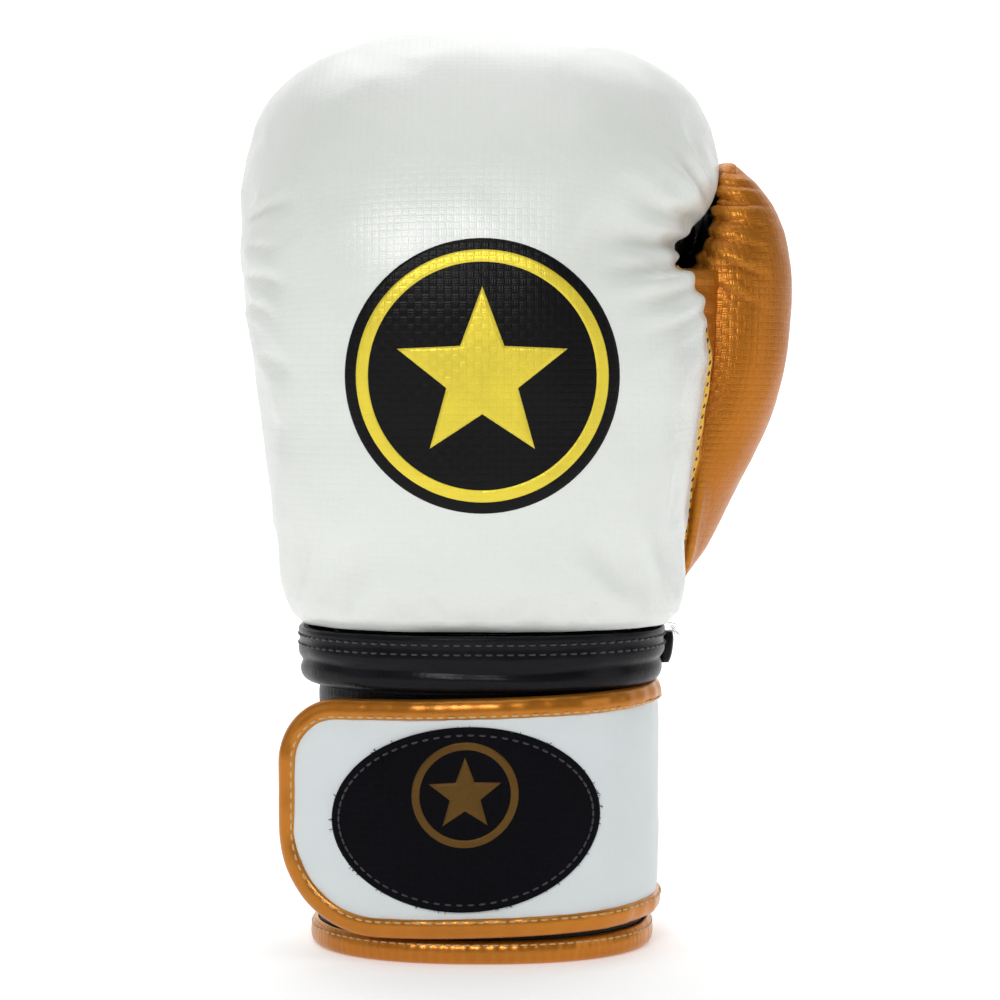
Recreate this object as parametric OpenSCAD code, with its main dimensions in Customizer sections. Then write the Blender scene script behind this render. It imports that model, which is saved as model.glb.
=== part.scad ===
// Padded boxing glove, left hand, built up from the sewn and glued pieces of the real thing.
// Millimetres, +Z from the wrist to the knuckles, back of the hand towards -Y, thumb towards +X.

/* [Node] */
// which sub-part to draw

/* [Mitt] */
// thickness of the outer cover
leather_t = 1.3; // [1:0.1:1.5]
// thickness of the linings
lining_t = 0.8; // [0.6:0.1:0.9]
// padding left between the hand and the palm cover
palm_pad = 8; // [7.5:0.5:9]
// share of the back padding taken by the outer foam sheet
foam_split = 0.5; // [0.4:0.05:0.6]
// radius of the grip bar
grip_r = 6; // [5:0.5:6.5]

/* [Badge] */
// radius of the round badge on the back of the hand
badge_r = 42.3; // [36:0.5:43]
// outer radius of the raised ring on the badge
ring_r = 38.8; // [33:0.5:39]
// width of the raised ring
ring_w = 3.6; // [2.5:0.1:4.5]
// point radius of the star on the badge
star_r = 27; // [18:1:28]

/* [Cuff] */
// height of the bound edge at the bottom of the cuff
binding_h = 7.5; // [6:0.5:7.5]
// half angle of the slit on the palm side
slit_half = 8; // [5:1:9]
// lower edge of the band that joins cuff and mitt
band_z = 87.6; // [87.4:0.2:90]

/* [Strap] */
// half height of the closing strap
strap_half = 37.5; // [34:0.5:37.5]
// thickness of the strap
strap_t = 4.2; // [3.8:0.1:4.6]
// width of the bound edge of the strap
edge_w = 6; // [4.5:0.5:7]
// straight run of the free end, past the cuff
strap_tail = 38.5; // [36:0.5:40]

/* [Hidden] */

gap = 0.2;
shift = [-11.55, -2.6, 0];
pearl = [0.9, 0.92, 0.9];
gold = [0.72, 0.45, 0.1];
gold_trim = [0.8, 0.52, 0.12];
badge_gold = [0.86, 0.76, 0.2];
black = [0.04, 0.04, 0.05];
bronze = [0.4, 0.27, 0.1];
cream = [0.85, 0.8, 0.65];
foam_grey = [0.45, 0.46, 0.48];
lining_black = [0.1, 0.1, 0.11];

// ---------- mesh helpers ----------

// two skins of n x m points closed into one solid over the kept cells; clockwise seen outside
function skin_faces(n, m, wrap, keep, cap_lo, cap_hi) =
  let (mm = wrap ? m : m - 1, b = n * m,
       on = function(i, j) i < 0 || i > n - 2 ? false
         : !wrap && (j < 0 || j > mm - 1) ? false : keep[i][(j + mm) % mm])
  concat(
    [for (i = [0 : n - 2], j = [0 : mm - 1]) if (keep[i][j])
      let (p = i * m + j, q = i * m + (j + 1) % m, r = q + m, s = p + m)
      each concat(
        [[p, q, r], [p, r, s], [b + p, b + r, b + q], [b + p, b + s, b + r]],
        on(i, j - 1) ? [] : [[p, s, b + s], [p, b + s, b + p]],
        on(i, j + 1) ? [] : [[r, q, b + q], [r, b + q, b + r]],
        on(i - 1, j) || (i == 0 && cap_lo) ? [] : [[q, p, b + p], [q, b + p, b + q]],
        on(i + 1, j) || (i == n - 2 && cap_hi) ? [] : [[s, r, b + r], [s, b + r, b + s]])],
    cap_lo ? [for (j = [1 : m - 2]) each [[0, j + 1, j], [b, b + j, b + j + 1]]] : [],
    cap_hi ? let (c = (n - 1) * m)
      [for (j = [1 : m - 2]) each [[c, c + j, c + j + 1], [b + c, b + c + j + 1, b + c + j]]]
      : []);

function flat(rows) = [for (r = rows) each r];

module skin(outer, inner, keep, wrap = true, cap_lo = false, cap_hi = false) {
  n = len(outer);
  m = len(outer[0]);
  polyhedron(
    points = concat(flat(outer), flat(inner)),
    faces = skin_faces(n, m, wrap, keep, cap_lo, cap_hi),
    convexity = 10);
}

// every cell kept
function all_cells(n, m) = [for (i = [0 : n - 2]) [for (j = [0 : m - 1]) true]];

// closed profile swept along rows of points, flat ends
module sweep(rows) {
  n = len(rows);
  m = len(rows[0]);
  polyhedron(
    points = flat(rows),
    faces = concat(
      [for (i = [0 : n - 2], j = [0 : m - 1])
        let (p = i * m + j, q = i * m + (j + 1) % m)
        each [[p, q, q + m], [p, q + m, p + m]]],
      [for (j = [1 : m - 2]) [0, j + 1, j]],
      [for (j = [1 : m - 2]) [(n - 1) * m, (n - 1) * m + j, (n - 1) * m + j + 1]]),
    convexity = 10);
}

// closed pad from a centre out to a rim: rings of points, front and back
module pad(ctr_o, ctr_i, rings_o, rings_i) {
  n = len(rings_o);
  m = len(rings_o[0]);
  b = n * m;
  co = 2 * b;
  ci = 2 * b + 1;
  polyhedron(
    points = concat(flat(rings_o), flat(rings_i), [ctr_o, ctr_i]),
    faces = concat(
      [for (j = [0 : m - 1]) let (k = (j + 1) % m) each [[co, k, j], [ci, b + j, b + k]]],
      n > 1 ? [for (i = [0 : n - 2], j = [0 : m - 1])
        let (p = i * m + j, q = i * m + (j + 1) % m)
        each [[p, q, q + m], [p, q + m, p + m],
              [b + p, b + q + m, b + q], [b + p, b + p + m, b + q + m]]] : [],
      [for (j = [0 : m - 1])
        let (p = (n - 1) * m + j, q = (n - 1) * m + (j + 1) % m)
        each [[p, q, b + q], [p, b + q, b + p]]]),
    convexity = 6);
}

// many small bricks as one mesh; each frame is [centre, along, across, up] with half sizes in it
module bricks(frames) {
  polyhedron(
    points = [for (f = frames, w = [-1, 1], v = [-1, 1], u = [-1, 1])
      f[0] + u * f[1] + v * f[2] + w * f[3]],
    faces = [for (k = [0 : len(frames) - 1])
      let (o = 8 * k, right = cross(frames[k][1], frames[k][2]) * frames[k][3] > 0)
      for (t = [[0, 1, 3], [0, 3, 2], [4, 6, 7], [4, 7, 5], [0, 4, 5], [0, 5, 1],
                [2, 3, 7], [2, 7, 6], [0, 2, 6], [0, 6, 4], [1, 5, 7], [1, 7, 3]])
      right ? [o + t[0], o + t[1], o + t[2]] : [o + t[0], o + t[2], o + t[1]]],
    convexity = 4);
}

function unit(v) = v / norm(v);
function spow(c, e) = sign(c) * pow(abs(c), e);
function smooth(t) = let (c = max(0, min(1, t))) c * c * (3 - 2 * c);
// the point t mm from p on the way to q
function toward(p, q, t) = p + t * unit(q - p);
function layer(p, q, t) = [for (i = [0 : len(p) - 1])
  [for (j = [0 : len(p[i]) - 1]) toward(p[i][j], q[i][j], t)]];
function between(p, q, f, t) = [for (i = [0 : len(p) - 1])
  [for (j = [0 : len(p[i]) - 1])
    p[i][j] + f * (q[i][j] - p[i][j]) + t * unit(q[i][j] - p[i][j])]];
function first(rows, n) = [for (i = [0 : n - 1]) rows[i]];

// ---------- mitt form ----------

round_n = 2.5;
mitt_z = 105.4;
crease = [25, 197];
crease_r = 3;

// lower mitt, level sections: height, centre y, half depth, half width (little finger side,
// thumb side), back padding, side padding
lower = [
  [mitt_z, -3, 43.5, 60.3, 61.9, 9, 11.5],
  [113, -4.5, 45.5, 62.3, 64, 13, 14.5],
  [122, -6, 47, 65, 66, 18, 18],
  [133, -7.5, 48.2, 67.6, 68, 23, 20.5],
  [145, -9, 49, 69.4, 69.7, 27, 22],
  [158, -12, 48, 70.8, 71.2, 29, 23],
  [170, -15, 45.5, 72.4, 72.4, 30, 23.5],
  [181, -17.8, 43.6, 73.8, 73.4, 30.5, 24],
  [190, -19.3, 42.5, 74.7, 73.7, 31, 24.5]];

// finger roll, sections fanned about the crease: angle, reach, half widths, padding of the back,
// of the palm side and of the sides
roll = [
  [0, 87, 75.4, 73.4, 31, 6, 25],
  [15, 89, 77, 71, 32, 6, 25],
  [30, 93, 78.5, 68.4, 35, 6, 25],
  [45, 98, 78.8, 71, 39, 6, 26],
  [60, 102, 78.8, 75, 43, 6, 26],
  [75, 104, 78.5, 78, 46, 6, 26],
  [90, 101, 77.5, 78, 47, 6, 26],
  [105, 91, 75.5, 76, 43, 6, 26],
  [120, 76, 73, 72, 35, 6, 26],
  [135, 62, 70, 66, 27, 6, 26],
  [150, 52, 67, 61, 22.5, 6, 26],
  [165, 46, 65, 58, 20.5, 6, 27],
  [180, 43, 63, 56, 23, 12, 33],
  [195, 39, 60, 54, 21, 13, 40],
  [212, 33, 56, 50, 17, 11, 42],
  [228, 28, 50, 46, 13.5, 9.5, 40]];

n_low = len(lower);
n_rows = n_low + len(roll);
n_hand = n_low + 13;
ring_t = [0, 14, 28, 44, 60, 75, 90, 105, 120, 136, 152, 166, 180, 195, 212, 230, 250, 270,
  288, 304, 314, 325, 336, 348];
n_ring = len(ring_t);

function col(tab, k) = [for (r = tab) [r[0], r[k]]];
function section(yc, zc, tilt, h, al, ar, t) =
  let (u = spow(cos(t), 2 / round_n), v = spow(sin(t), 2 / round_n))
  [(u > 0 ? ar : al) * u, yc - h * v * cos(tilt), zc + h * v * sin(tilt)];
function low_ring(r) = [for (t = ring_t) section(r[1], r[0], 0, r[2], r[3], r[4], t)];
function low_hole(r) = let (h = r[2] - (r[5] + palm_pad) / 2, y = r[1] + (r[5] - palm_pad) / 2)
  [for (t = ring_t) section(y, r[0], 0, h, r[3] - r[6], r[4] - r[6], t)];
function fan_ring(a, lo, hi, al, ar) =
  let (m = (lo + hi) / 2, h = (hi - lo) / 2)
  [for (t = ring_t) section(crease[0] - m * cos(a), crease[1] + m * sin(a), a, h, al, ar, t)];

mitt_out = concat([for (r = lower) low_ring(r)],
  [for (r = roll) fan_ring(r[0], crease_r, r[1], r[2], r[3])]);
mitt_in = concat([for (r = lower) low_hole(r)],
  [for (r = roll) fan_ring(r[0] - 12 * smooth((r[0] - 150) / 78),
    crease_r + r[5] + 0.4 * (palm_pad - 8), r[1] - r[4], r[2] - r[6], r[3] - r[6])]);

// half width of the mitt on the thumb side at depth y and height z
function side_x(y, z) = z <= crease[1]
  ? let (k = [for (c = [1, 2, 4]) lookup(z, concat(col(lower, c),
        [[crease[1], c == 1 ? crease[0] - 45 : c == 2 ? 42 : roll[0][3]]]))],
      v = min(1, abs((k[0] - y) / k[1])))
    k[2] * pow(1 - pow(v, round_n), 1 / round_n)
  : let (a = atan2(z - crease[1], crease[0] - y), p = norm([crease[0] - y, z - crease[1]]),
      hi = lookup(a, col(roll, 1)), h = (hi - crease_r) / 2,
      v = min(1, abs((p - crease_r - h) / h)))
    lookup(a, col(roll, 3)) * pow(1 - pow(v, round_n), 1 / round_n);

// front surface of the back of the hand over the point x, z
function roll_front(x, a) = let (
    w = lookup(a, col(roll, x > 0 ? 3 : 2)), hi = lookup(a, col(roll, 1)),
    h = (hi - crease_r) / 2, v = pow(max(0, 1 - pow(abs(x) / w, round_n)), 1 / round_n))
  crease_r + h + h * v;
function roll_angle(x, z, lo, hi, n) = let (m = (lo + hi) / 2)
  n == 0 ? m : crease[1] + roll_front(x, m) * sin(m) < z
    ? roll_angle(x, z, m, hi, n - 1) : roll_angle(x, z, lo, m, n - 1);
function front_y(x, z) = z < crease[1]
  ? let (k = [for (c = [1, 2]) lookup(z, concat(col(lower, c), [[crease[1], c == 1 ? -20 : 42]]))],
      w = lookup(z, concat(col(lower, x > 0 ? 4 : 3), [[crease[1], roll[0][x > 0 ? 3 : 2]]])))
    k[0] - k[1] * pow(max(0, 1 - pow(abs(x) / w, round_n)), 1 / round_n)
  : let (a = roll_angle(x, z, 0, 80, 14)) crease[0] - roll_front(x, a) * cos(a);
function on_front(x, z, up) = let (e = 1,
    n = unit([front_y(x + e, z) - front_y(x - e, z), -2 * e,
      front_y(x, z + e) - front_y(x, z - e)]))
  [x, front_y(x, z), z] + up * n;

function is_back(j) = j == n_ring - 1 || j < 13;
function is_window(i, j) = i >= 2 && i <= 4 && j >= 19 && j <= 21;
tip_row = n_rows - 3;

// ---------- mitt pieces ----------

module placed() {
  translate(shift)
    children();
}

module mitt_layer(a, b, keep, n = n_rows, cap = false) {
  skin(first(a, n), first(b, n),
    [for (i = [0 : n - 2]) [for (j = [0 : n_ring - 1]) keep(i, j)]], cap_hi = cap);
}

module back_shell() {
  color(pearl)
    placed()
      mitt_layer(mitt_out, layer(mitt_out, mitt_in, leather_t),
        function(i, j) is_back(j) || i >= tip_row, cap = true);
}

module palm_panel() {
  color(black)
    placed()
      mitt_layer(mitt_out, layer(mitt_out, mitt_in, leather_t),
        function(i, j) !is_back(j) && i < n_low - 1 && !is_window(i, j));
}

module finger_panel() {
  color(black)
    placed()
      mitt_layer(mitt_out, layer(mitt_out, mitt_in, leather_t),
        function(i, j) !is_back(j) && i >= n_low - 1 && i < tip_row);
}

foam_out = layer(mitt_out, mitt_in, leather_t + gap);
foam_in = layer(mitt_in, mitt_out, lining_t + gap);

fold_row = n_low - 1;
foam_mid_o = between(foam_out, foam_in, foam_split, -gap / 2);
foam_mid_i = between(foam_out, foam_in, foam_split, gap / 2);

module back_foam_outer() {
  color(foam_grey)
    placed()
      mitt_layer(foam_out, foam_mid_o, function(i, j) is_back(j) && i < fold_row);
}

module back_foam_inner() {
  color([0.6, 0.6, 0.62])
    placed()
      mitt_layer(foam_mid_i, foam_in, function(i, j) is_back(j) && i < fold_row);
}

module knuckle_foam_outer() {
  color([0.5, 0.51, 0.53])
    placed()
      mitt_layer(foam_out, foam_mid_o,
        function(i, j) i >= fold_row && (is_back(j) || i >= tip_row), cap = true);
}

module knuckle_foam_inner() {
  color([0.64, 0.64, 0.66])
    placed()
      mitt_layer(foam_mid_i, foam_in,
        function(i, j) i >= fold_row && (is_back(j) || i >= tip_row), cap = true);
}

module palm_foam() {
  color(foam_grey)
    placed()
      mitt_layer(foam_out, foam_in,
        function(i, j) !is_back(j) && i < fold_row && !is_window(i, j));
}

module finger_foam() {
  color([0.5, 0.5, 0.52])
    placed()
      mitt_layer(foam_out, foam_in,
        function(i, j) !is_back(j) && i >= fold_row && i < tip_row);
}

module hand_lining() {
  color(lining_black)
    placed()
      mitt_layer(layer(mitt_in, mitt_out, lining_t), mitt_in,
        function(i, j) !is_window(i, j), n = n_hand, cap = true);
}

grip_z = 178;
grip_y = 3;

module grip_bar() {
  color(black)
    placed()
      translate([-40, grip_y, grip_z])
        rotate([0, 90, 0])
          cylinder(h = 80, r = grip_r, $fn = 48);
}

// ---------- badge ----------

badge_x = 0.5;
badge_z = 187;
function polar_ring(r, m, up, x = badge_x, z = badge_z) =
  [for (j = [0 : m - 1]) let (a = 360 * j / m) on_front(x + r * cos(a), z + r * sin(a), up)];

module badge_disc() {
  lo = 0.7;
  color(black)
    placed()
      pad(on_front(badge_x, badge_z, lo + 1.2), on_front(badge_x, badge_z, lo),
        [for (f = [0.34, 0.67, 1]) polar_ring(badge_r * f, 36, lo + 1.2)],
        [for (f = [0.34, 0.67, 1]) polar_ring(badge_r * f, 36, lo)]);
}

module badge_ring() {
  color(badge_gold)
    placed()
      skin([for (r = [ring_r - ring_w, ring_r]) polar_ring(r, 36, 2.9)],
        [for (r = [ring_r - ring_w, ring_r]) polar_ring(r, 36, 2.2)], all_cells(2, 36));
}

function star_reach(j) = [1, 0.66, 0.42, 0.66][j % 4];
function star_ring(r, x, z, place) = [for (j = [0 : 19]) let (a = 90 + 18 * j)
  place(x + r * star_reach(j) * cos(a), z + r * star_reach(j) * sin(a))];

module badge_emblem() {
  hi = function(x, z) on_front(x, z, 3);
  lo = function(x, z) on_front(x, z, 2.2);
  color(badge_gold)
    placed()
      pad(hi(badge_x, badge_z), lo(badge_x, badge_z),
        [for (f = [0.4, 1]) star_ring(star_r * f, badge_x, badge_z, hi)],
        [for (f = [0.4, 1]) star_ring(star_r * f, badge_x, badge_z, lo)]);
}

// ---------- thumb ----------

// level sections of the thumb: height, centre x, centre y, half width, half depth
thumb = [
  [110, 49, 31, 13, 9],
  [118, 50, 30, 16, 18],
  [128, 53, 30, 19.5, 24],
  [139, 57, 30, 20.7, 26],
  [150, 62.4, 30, 21, 27],
  [162, 68.4, 29.5, 20.8, 27],
  [175, 74, 29, 20.5, 26.5],
  [188, 78.4, 29, 20.3, 26],
  [203, 80.8, 29.5, 20, 25],
  [218, 82.4, 30, 19.5, 24],
  [231, 83.4, 30.5, 17.4, 21.5],
  [241, 85, 31, 12.4, 17],
  [249, 84.5, 31, 8, 11.5],
  [254, 83, 31, 4.6, 6.5],
  [256.5, 82.6, 31, 2, 3]];
n_thumb = len(thumb);
thumb_m = 18;
thumb_gap = 0.9;
thumb_wall = 8;

function thumb_ring(r, less, clear, rise = 0) = [for (j = [0 : thumb_m - 1])
  let (t = 360 * j / thumb_m, u = spow(cos(t), 0.9), v = spow(sin(t), 0.9),
    y = r[2] - max(1, r[4] - less * 1.1) * v,
    x = r[1] + less / 10 + max(0.6, r[3] - less) * u)
  [max(x, (y < 43 || r[0] > crease[1] - 24 ? side_x(y, r[0]) : 0) + clear + 2 * (1 + u)), y, r[0] + rise]];
thumb_out = [for (r = thumb) thumb_ring(r, 0, thumb_gap)];
function thumb_less(z) = lookup(z,
  [[110, 11.5], [118, 13], [128, 11], [139, thumb_wall], [231, thumb_wall], [241, 9.4],
   [249, 6.5], [254, 3.4], [256.5, 1]]);
function thumb_clear(z) = thumb_gap + lookup(z,
  [[110, 1], [128, 4.2], [139, 5.6], [231, 5.6], [241, 5], [249, 4], [254, 2], [256.5, 1]]);
function thumb_rise(z) = lookup(z,
  [[110, 5], [118, 3], [128, 0], [231, 0], [241, -3], [249, -6], [254, -8.5], [256.5, -10]]);
thumb_in = [for (r = thumb) thumb_ring(r, thumb_less(r[0]), thumb_clear(r[0]), thumb_rise(r[0]))];
function thumb_window(i, j) = i >= 2 && i <= 4 && j >= 7 && j <= 8;
function thumb_inner(i, j) = i > 0 && i < 10 && j >= 7 && j <= 12;

thumb_skin_in = layer(thumb_out, thumb_in, leather_t);
thumb_foam_out = layer(thumb_out, thumb_in, leather_t + gap);
thumb_foam_in = layer(thumb_in, thumb_out, lining_t + gap);

module thumb_outer_panel() {
  color(gold)
    placed()
      skin(thumb_out, thumb_skin_in,
        [for (i = [0 : n_thumb - 2]) [for (j = [0 : thumb_m - 1]) !thumb_inner(i, j)]],
        cap_lo = true, cap_hi = true);
}

module thumb_inner_panel() {
  color(black)
    placed()
      skin(thumb_out, thumb_skin_in,
        [for (i = [0 : n_thumb - 2]) [for (j = [0 : thumb_m - 1])
          thumb_inner(i, j) && !thumb_window(i, j)]]);
}

module thumb_foam() {
  color(foam_grey)
    placed()
      skin(thumb_foam_out, thumb_foam_in,
        [for (i = [0 : n_thumb - 2]) [for (j = [0 : thumb_m - 1]) !thumb_window(i, j)]],
        cap_lo = true, cap_hi = true);
}

module thumb_lining() {
  lo = 1;
  hi = 11;
  a = layer(thumb_in, thumb_out, lining_t);
  color(lining_black)
    placed()
      skin([for (i = [lo : hi]) a[i]], [for (i = [lo : hi]) thumb_in[i]],
        [for (i = [lo : hi - 1]) [for (j = [0 : thumb_m - 1]) !thumb_window(i, j)]],
        cap_lo = true, cap_hi = true);
}

module thumb_lock() {
  color(black)
    placed()
      skin([for (z = [222, 228, 234, 240]) [for (y = [18, 24, 30, 36, 42]) [side_x(y, z) + 0.75, y, z]]],
        [for (z = [222, 228, 234, 240]) [for (y = [18, 24, 30, 36, 42]) [side_x(y, z) + 0.25, y, z]]],
        all_cells(4, 4), wrap = false);
}

// seam between the white side and the thumb
seam_z = [for (k = [0 : 14]) 116 + 7 * k];
function seam_y(z) = lookup(z, [[110, 14], [118, 8], [128, 2.5], [150, 0.2], [190, 0.4], [216, 3]]);
function seam_pt(z, up) = let (y = seam_y(z)) [side_x(y, z) + up, y, z];

module thumb_seam_piping() {
  color(gold_trim)
    placed()
      sweep([for (z = seam_z) let (c = seam_pt(z, 1.9))
        [for (k = [0 : 5]) c + 1.2 * [cos(60 * k), -sin(60 * k), 0]]]);
}

module thumb_seam_stitches() {
  color(black)
    placed()
      bricks([for (k = [0 : 27]) let (z = 117 + 3.5 * k, y = seam_y(z) - 4.5)
        [[side_x(y, z) + 0.75, y, z], [0, 0, 0.9], [0, 0.45, 0], [0.35, 0, 0]]]);
}

// ---------- cuff ----------

cuff_n = 2.3;
cuff_top = 104.8;
shell_t = 1.4;
cuff_t = 8.6;
function cuff_a(z) = lookup(z, [[0, 53.6], [87, 53.6], [cuff_top, 57]]);
function cuff_b(z) = lookup(z, [[0, 42.5], [87, 42.5], [cuff_top, 43.5]]);
function cuff_y(z) = lookup(z, [[0, 0], [87, 0], [cuff_top, -2.5]]);
function oval(t, a, b) = [a * spow(cos(t), 2 / cuff_n), -b * spow(sin(t), 2 / cuff_n)];
function cuff_pt(t, up, z) = let (p = oval(t, cuff_a(z) + up, cuff_b(z) + up))
  [p[0], p[1] + cuff_y(z), z];

cuff_tt = [for (k = [0 : 35]) k == 26 ? 270 - slit_half : k == 28 ? 270 + slit_half : 10 * k];
cuff_rows = [3.2, 44, 87, cuff_top];
function cuff_grid(up, rows = cuff_rows) = [for (z = rows) [for (t = cuff_tt) cuff_pt(t, up, z)]];
cuff_keep = [for (i = [0 : 2]) [for (j = [0 : 35]) i == 2 || j < 26 || j > 27]];

module cuff_shell() {
  color(black)
    placed()
      skin(cuff_grid(0), cuff_grid(-shell_t), cuff_keep);
}

module cuff_foam() {
  color(foam_grey)
    placed()
      skin(cuff_grid(-shell_t - gap), cuff_grid(-cuff_t + 1 + gap), cuff_keep);
}

module cuff_lining() {
  color(lining_black)
    placed()
      skin(cuff_grid(-cuff_t + 1), cuff_grid(-cuff_t), cuff_keep);
}

band_rows = [band_z, band_z + 0.8, 95.4, 96.2, 103.4, 104.6];
band_up = [1.8, 2.6, 2.8, 3.4, 3.4, 2.2];

module cuff_band() {
  color(black)
    placed()
      skin([for (i = [0 : 5]) [for (t = cuff_tt) cuff_pt(t, band_up[i], band_rows[i])]],
        cuff_grid(gap, band_rows), all_cells(6, 36));
}

module cuff_band_stitches() {
  n = 60;
  color([0.2, 0.2, 0.2])
    placed()
      bricks([for (k = [0 : n - 1]) let (t = 360 * k / n, p = cuff_pt(t, 3.75, 100.6),
          d = unit(cuff_pt(t + 1, 3.75, 100.6) - p), u = unit(cross(d, [0, 0, 1])))
        [p, 1.3 * d, [0, 0, 0.4], 0.25 * u]]);
}

module band_tab() {
  color(black)
    placed()
      bricks([[[62.6, 6, 96.4], [2.6, 0, 0], [0, 5, 0], [0, 0, 5]]]);
}

bind_t = [for (k = [0 : 30]) 270 + slit_half + 2 + k * (356 - 2 * slit_half) / 30];
bind_profile = [[2, 0], [2.2, 3.5], [1.6, binding_h], [gap, binding_h], [gap, 3],
  [-cuff_t - gap, 3], [-cuff_t - gap, 6.6], [-cuff_t - 1.6, 6.6], [-cuff_t - 2, 3], [-cuff_t - 1.6, 0]];

module cuff_binding() {
  color(gold_trim)
    placed()
      sweep([for (t = bind_t) [for (p = bind_profile) let (q = cuff_pt(t, p[0], 1)) [q[0], q[1], p[1]]]]);
}

module cuff_binding_stitches() {
  n = 52;
  color(cream)
    placed()
      bricks([for (k = [0 : n - 1]) let (t = 284 + k * 332 / (n - 1), p = cuff_pt(t, 2.35, 5.6),
          d = unit(cuff_pt(t + 1, 2.35, 5.6) - p), u = unit(cross(d, [0, 0, 1])))
        [p, 1.5 * d, [0, 0, 0.4], 0.2 * u]]);
}

tongue_t = [for (k = [0 : 6]) 246 + 8 * k];
tongue_rows = [8, 45, 78, 98];

module cuff_tongue() {
  color(black)
    placed()
      skin([for (z = tongue_rows) [for (t = tongue_t) cuff_pt(t, -cuff_t - 0.5, z)]],
        [for (z = tongue_rows) [for (t = tongue_t) cuff_pt(t, -cuff_t - 2.5, z)]],
        all_cells(4, 6), wrap = false);
}

loop_t = [for (k = [0 : 6]) 62 + 9 * k];

module loop_pad() {
  color(black)
    placed()
      skin([for (z = [20, 48, 76]) [for (t = loop_t) cuff_pt(t, 1.1, z)]],
        [for (z = [20, 48, 76]) [for (t = loop_t) cuff_pt(t, gap, z)]],
        all_cells(3, 6), wrap = false);
}

// ---------- strap ----------

// the strap follows the cuff from its anchor on the palm, round the thumb side and over the back,
// then leaves the cuff in a straight tail; p is the angle round the cuff, and past leave it is
// leave plus millimetres of tail
leave = 118;
hinge_p = 22;
anchor_p = -117;
strap_z = 47.5;
strap_lean = 0.03;
strap_gap = 0.5;
function strap_lift(p) = strap_gap + 2.3 * smooth((p - 26) / 30);
function strap_oval(p) = oval(p, cuff_a(0) + strap_lift(p), cuff_b(0) + strap_lift(p));
function oval_out(p) = let (u = spow(cos(p), 2 / cuff_n), v = spow(sin(p), 2 / cuff_n))
  unit([spow(u, cuff_n - 1) / cuff_a(0), -spow(v, cuff_n - 1) / cuff_b(0)]);
tail_dir = let (n = oval_out(leave)) [n[1], -n[0]];
function strap_line(p) = p <= leave ? strap_oval(p) : strap_oval(leave) + (p - leave) * tail_dir;
function strap_pt(p, z, up) = let (q = strap_line(p), n = oval_out(min(p, leave)))
  [q[0] + up * n[0], q[1] + up * n[1], strap_z + strap_lean * q[0] + z];

end_p0 = hinge_p + 0.7;
run_p = [for (k = [0 : 9]) end_p0 + k * (leave - end_p0) / 9];
lo_r = 34;
hi_r = 20;
function tail_s(w, k) = strap_tail - lo_r + (lo_r - w) * sin(15 * k);
function tail_lo(w, k) = -strap_half + lo_r - (lo_r - w) * cos(15 * k);
function tail_hi(w, k) = let (s = tail_s(w, k) - (strap_tail - hi_r), r = hi_r - w)
  s <= 0 ? strap_half - w : strap_half - hi_r + sqrt(max(0, r * r - s * s));
function end_cols(w) = concat([for (p = run_p) [p, -strap_half + w, strap_half - w]],
  [for (k = [0 : 6]) [leave + tail_s(w, k), tail_lo(w, k), tail_hi(w, k)]]);
end_f = [0, 0.25, 0.5, 0.75, 1];
function end_grid(w, up) = [for (f = end_f) [for (c = end_cols(w))
  strap_pt(c[0], c[1] + f * (c[2] - c[1]), up)]];

module strap_slab(w, lo, hi) {
  skin(end_grid(w, hi), end_grid(w, lo), all_cells(5, len(end_cols(w)) - 1), wrap = false);
}

back_hi = 0.9;
foam_hi = strap_t - 1.4;

module strap_end_backing() {
  color(black)
    placed()
      strap_slab(edge_w + 0.2, 0, back_hi);
}

module strap_end_foam() {
  color(foam_grey)
    placed()
      strap_slab(edge_w + 0.2, back_hi + gap, foam_hi);
}

module strap_end_shell() {
  color(pearl)
    placed()
      strap_slab(edge_w + 0.2, foam_hi + gap, strap_t - 0.3);
}

// outline of the free end as pairs of points: the edge and its inner side
function edge_arc(cs, cz, r, a, w) = [[leave + cs + r * sin(a), cz - r * cos(a)],
  [leave + cs + (r - w) * sin(a), cz - (r - w) * cos(a)]];
end_outline = concat(
  [for (p = run_p) [[p, -strap_half], [p, -strap_half + edge_w]]],
  [for (k = [0 : 5]) edge_arc(strap_tail - lo_r, -strap_half + lo_r, lo_r, 18 * k, edge_w)],
  [for (k = [0 : 4]) edge_arc(strap_tail - hi_r, strap_half - hi_r, hi_r, 90 + 22.5 * k, edge_w)],
  [for (k = [0 : 9]) let (p = run_p[9 - k]) [[p, strap_half], [p, strap_half - edge_w]]]);

module strap_end_binding() {
  color(gold_trim)
    placed()
      sweep([for (c = end_outline) [
        strap_pt(c[0][0], c[0][1], 0.6), strap_pt(c[0][0], c[0][1], strap_t - 0.6),
        strap_pt(0.8 * c[0][0] + 0.2 * c[1][0], 0.8 * c[0][1] + 0.2 * c[1][1], strap_t),
        strap_pt(c[1][0], c[1][1], strap_t - 0.1), strap_pt(c[1][0], c[1][1], 0),
        strap_pt(0.8 * c[0][0] + 0.2 * c[1][0], 0.8 * c[0][1] + 0.2 * c[1][1], 0)]]);
}

function outline_at(f) = let (x = f * (len(end_outline) - 1), i = min(floor(x), len(end_outline) - 2), g = x - i,
    a = end_outline[i], b = end_outline[i + 1])
  [for (k = [0, 1]) let (p = a[k] + g * (b[k] - a[k])) p];
function stitch_at(f, up) = let (q = outline_at(f), c = 0.2 * q[0] + 0.8 * q[1]) strap_pt(c[0], c[1], up);

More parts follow.
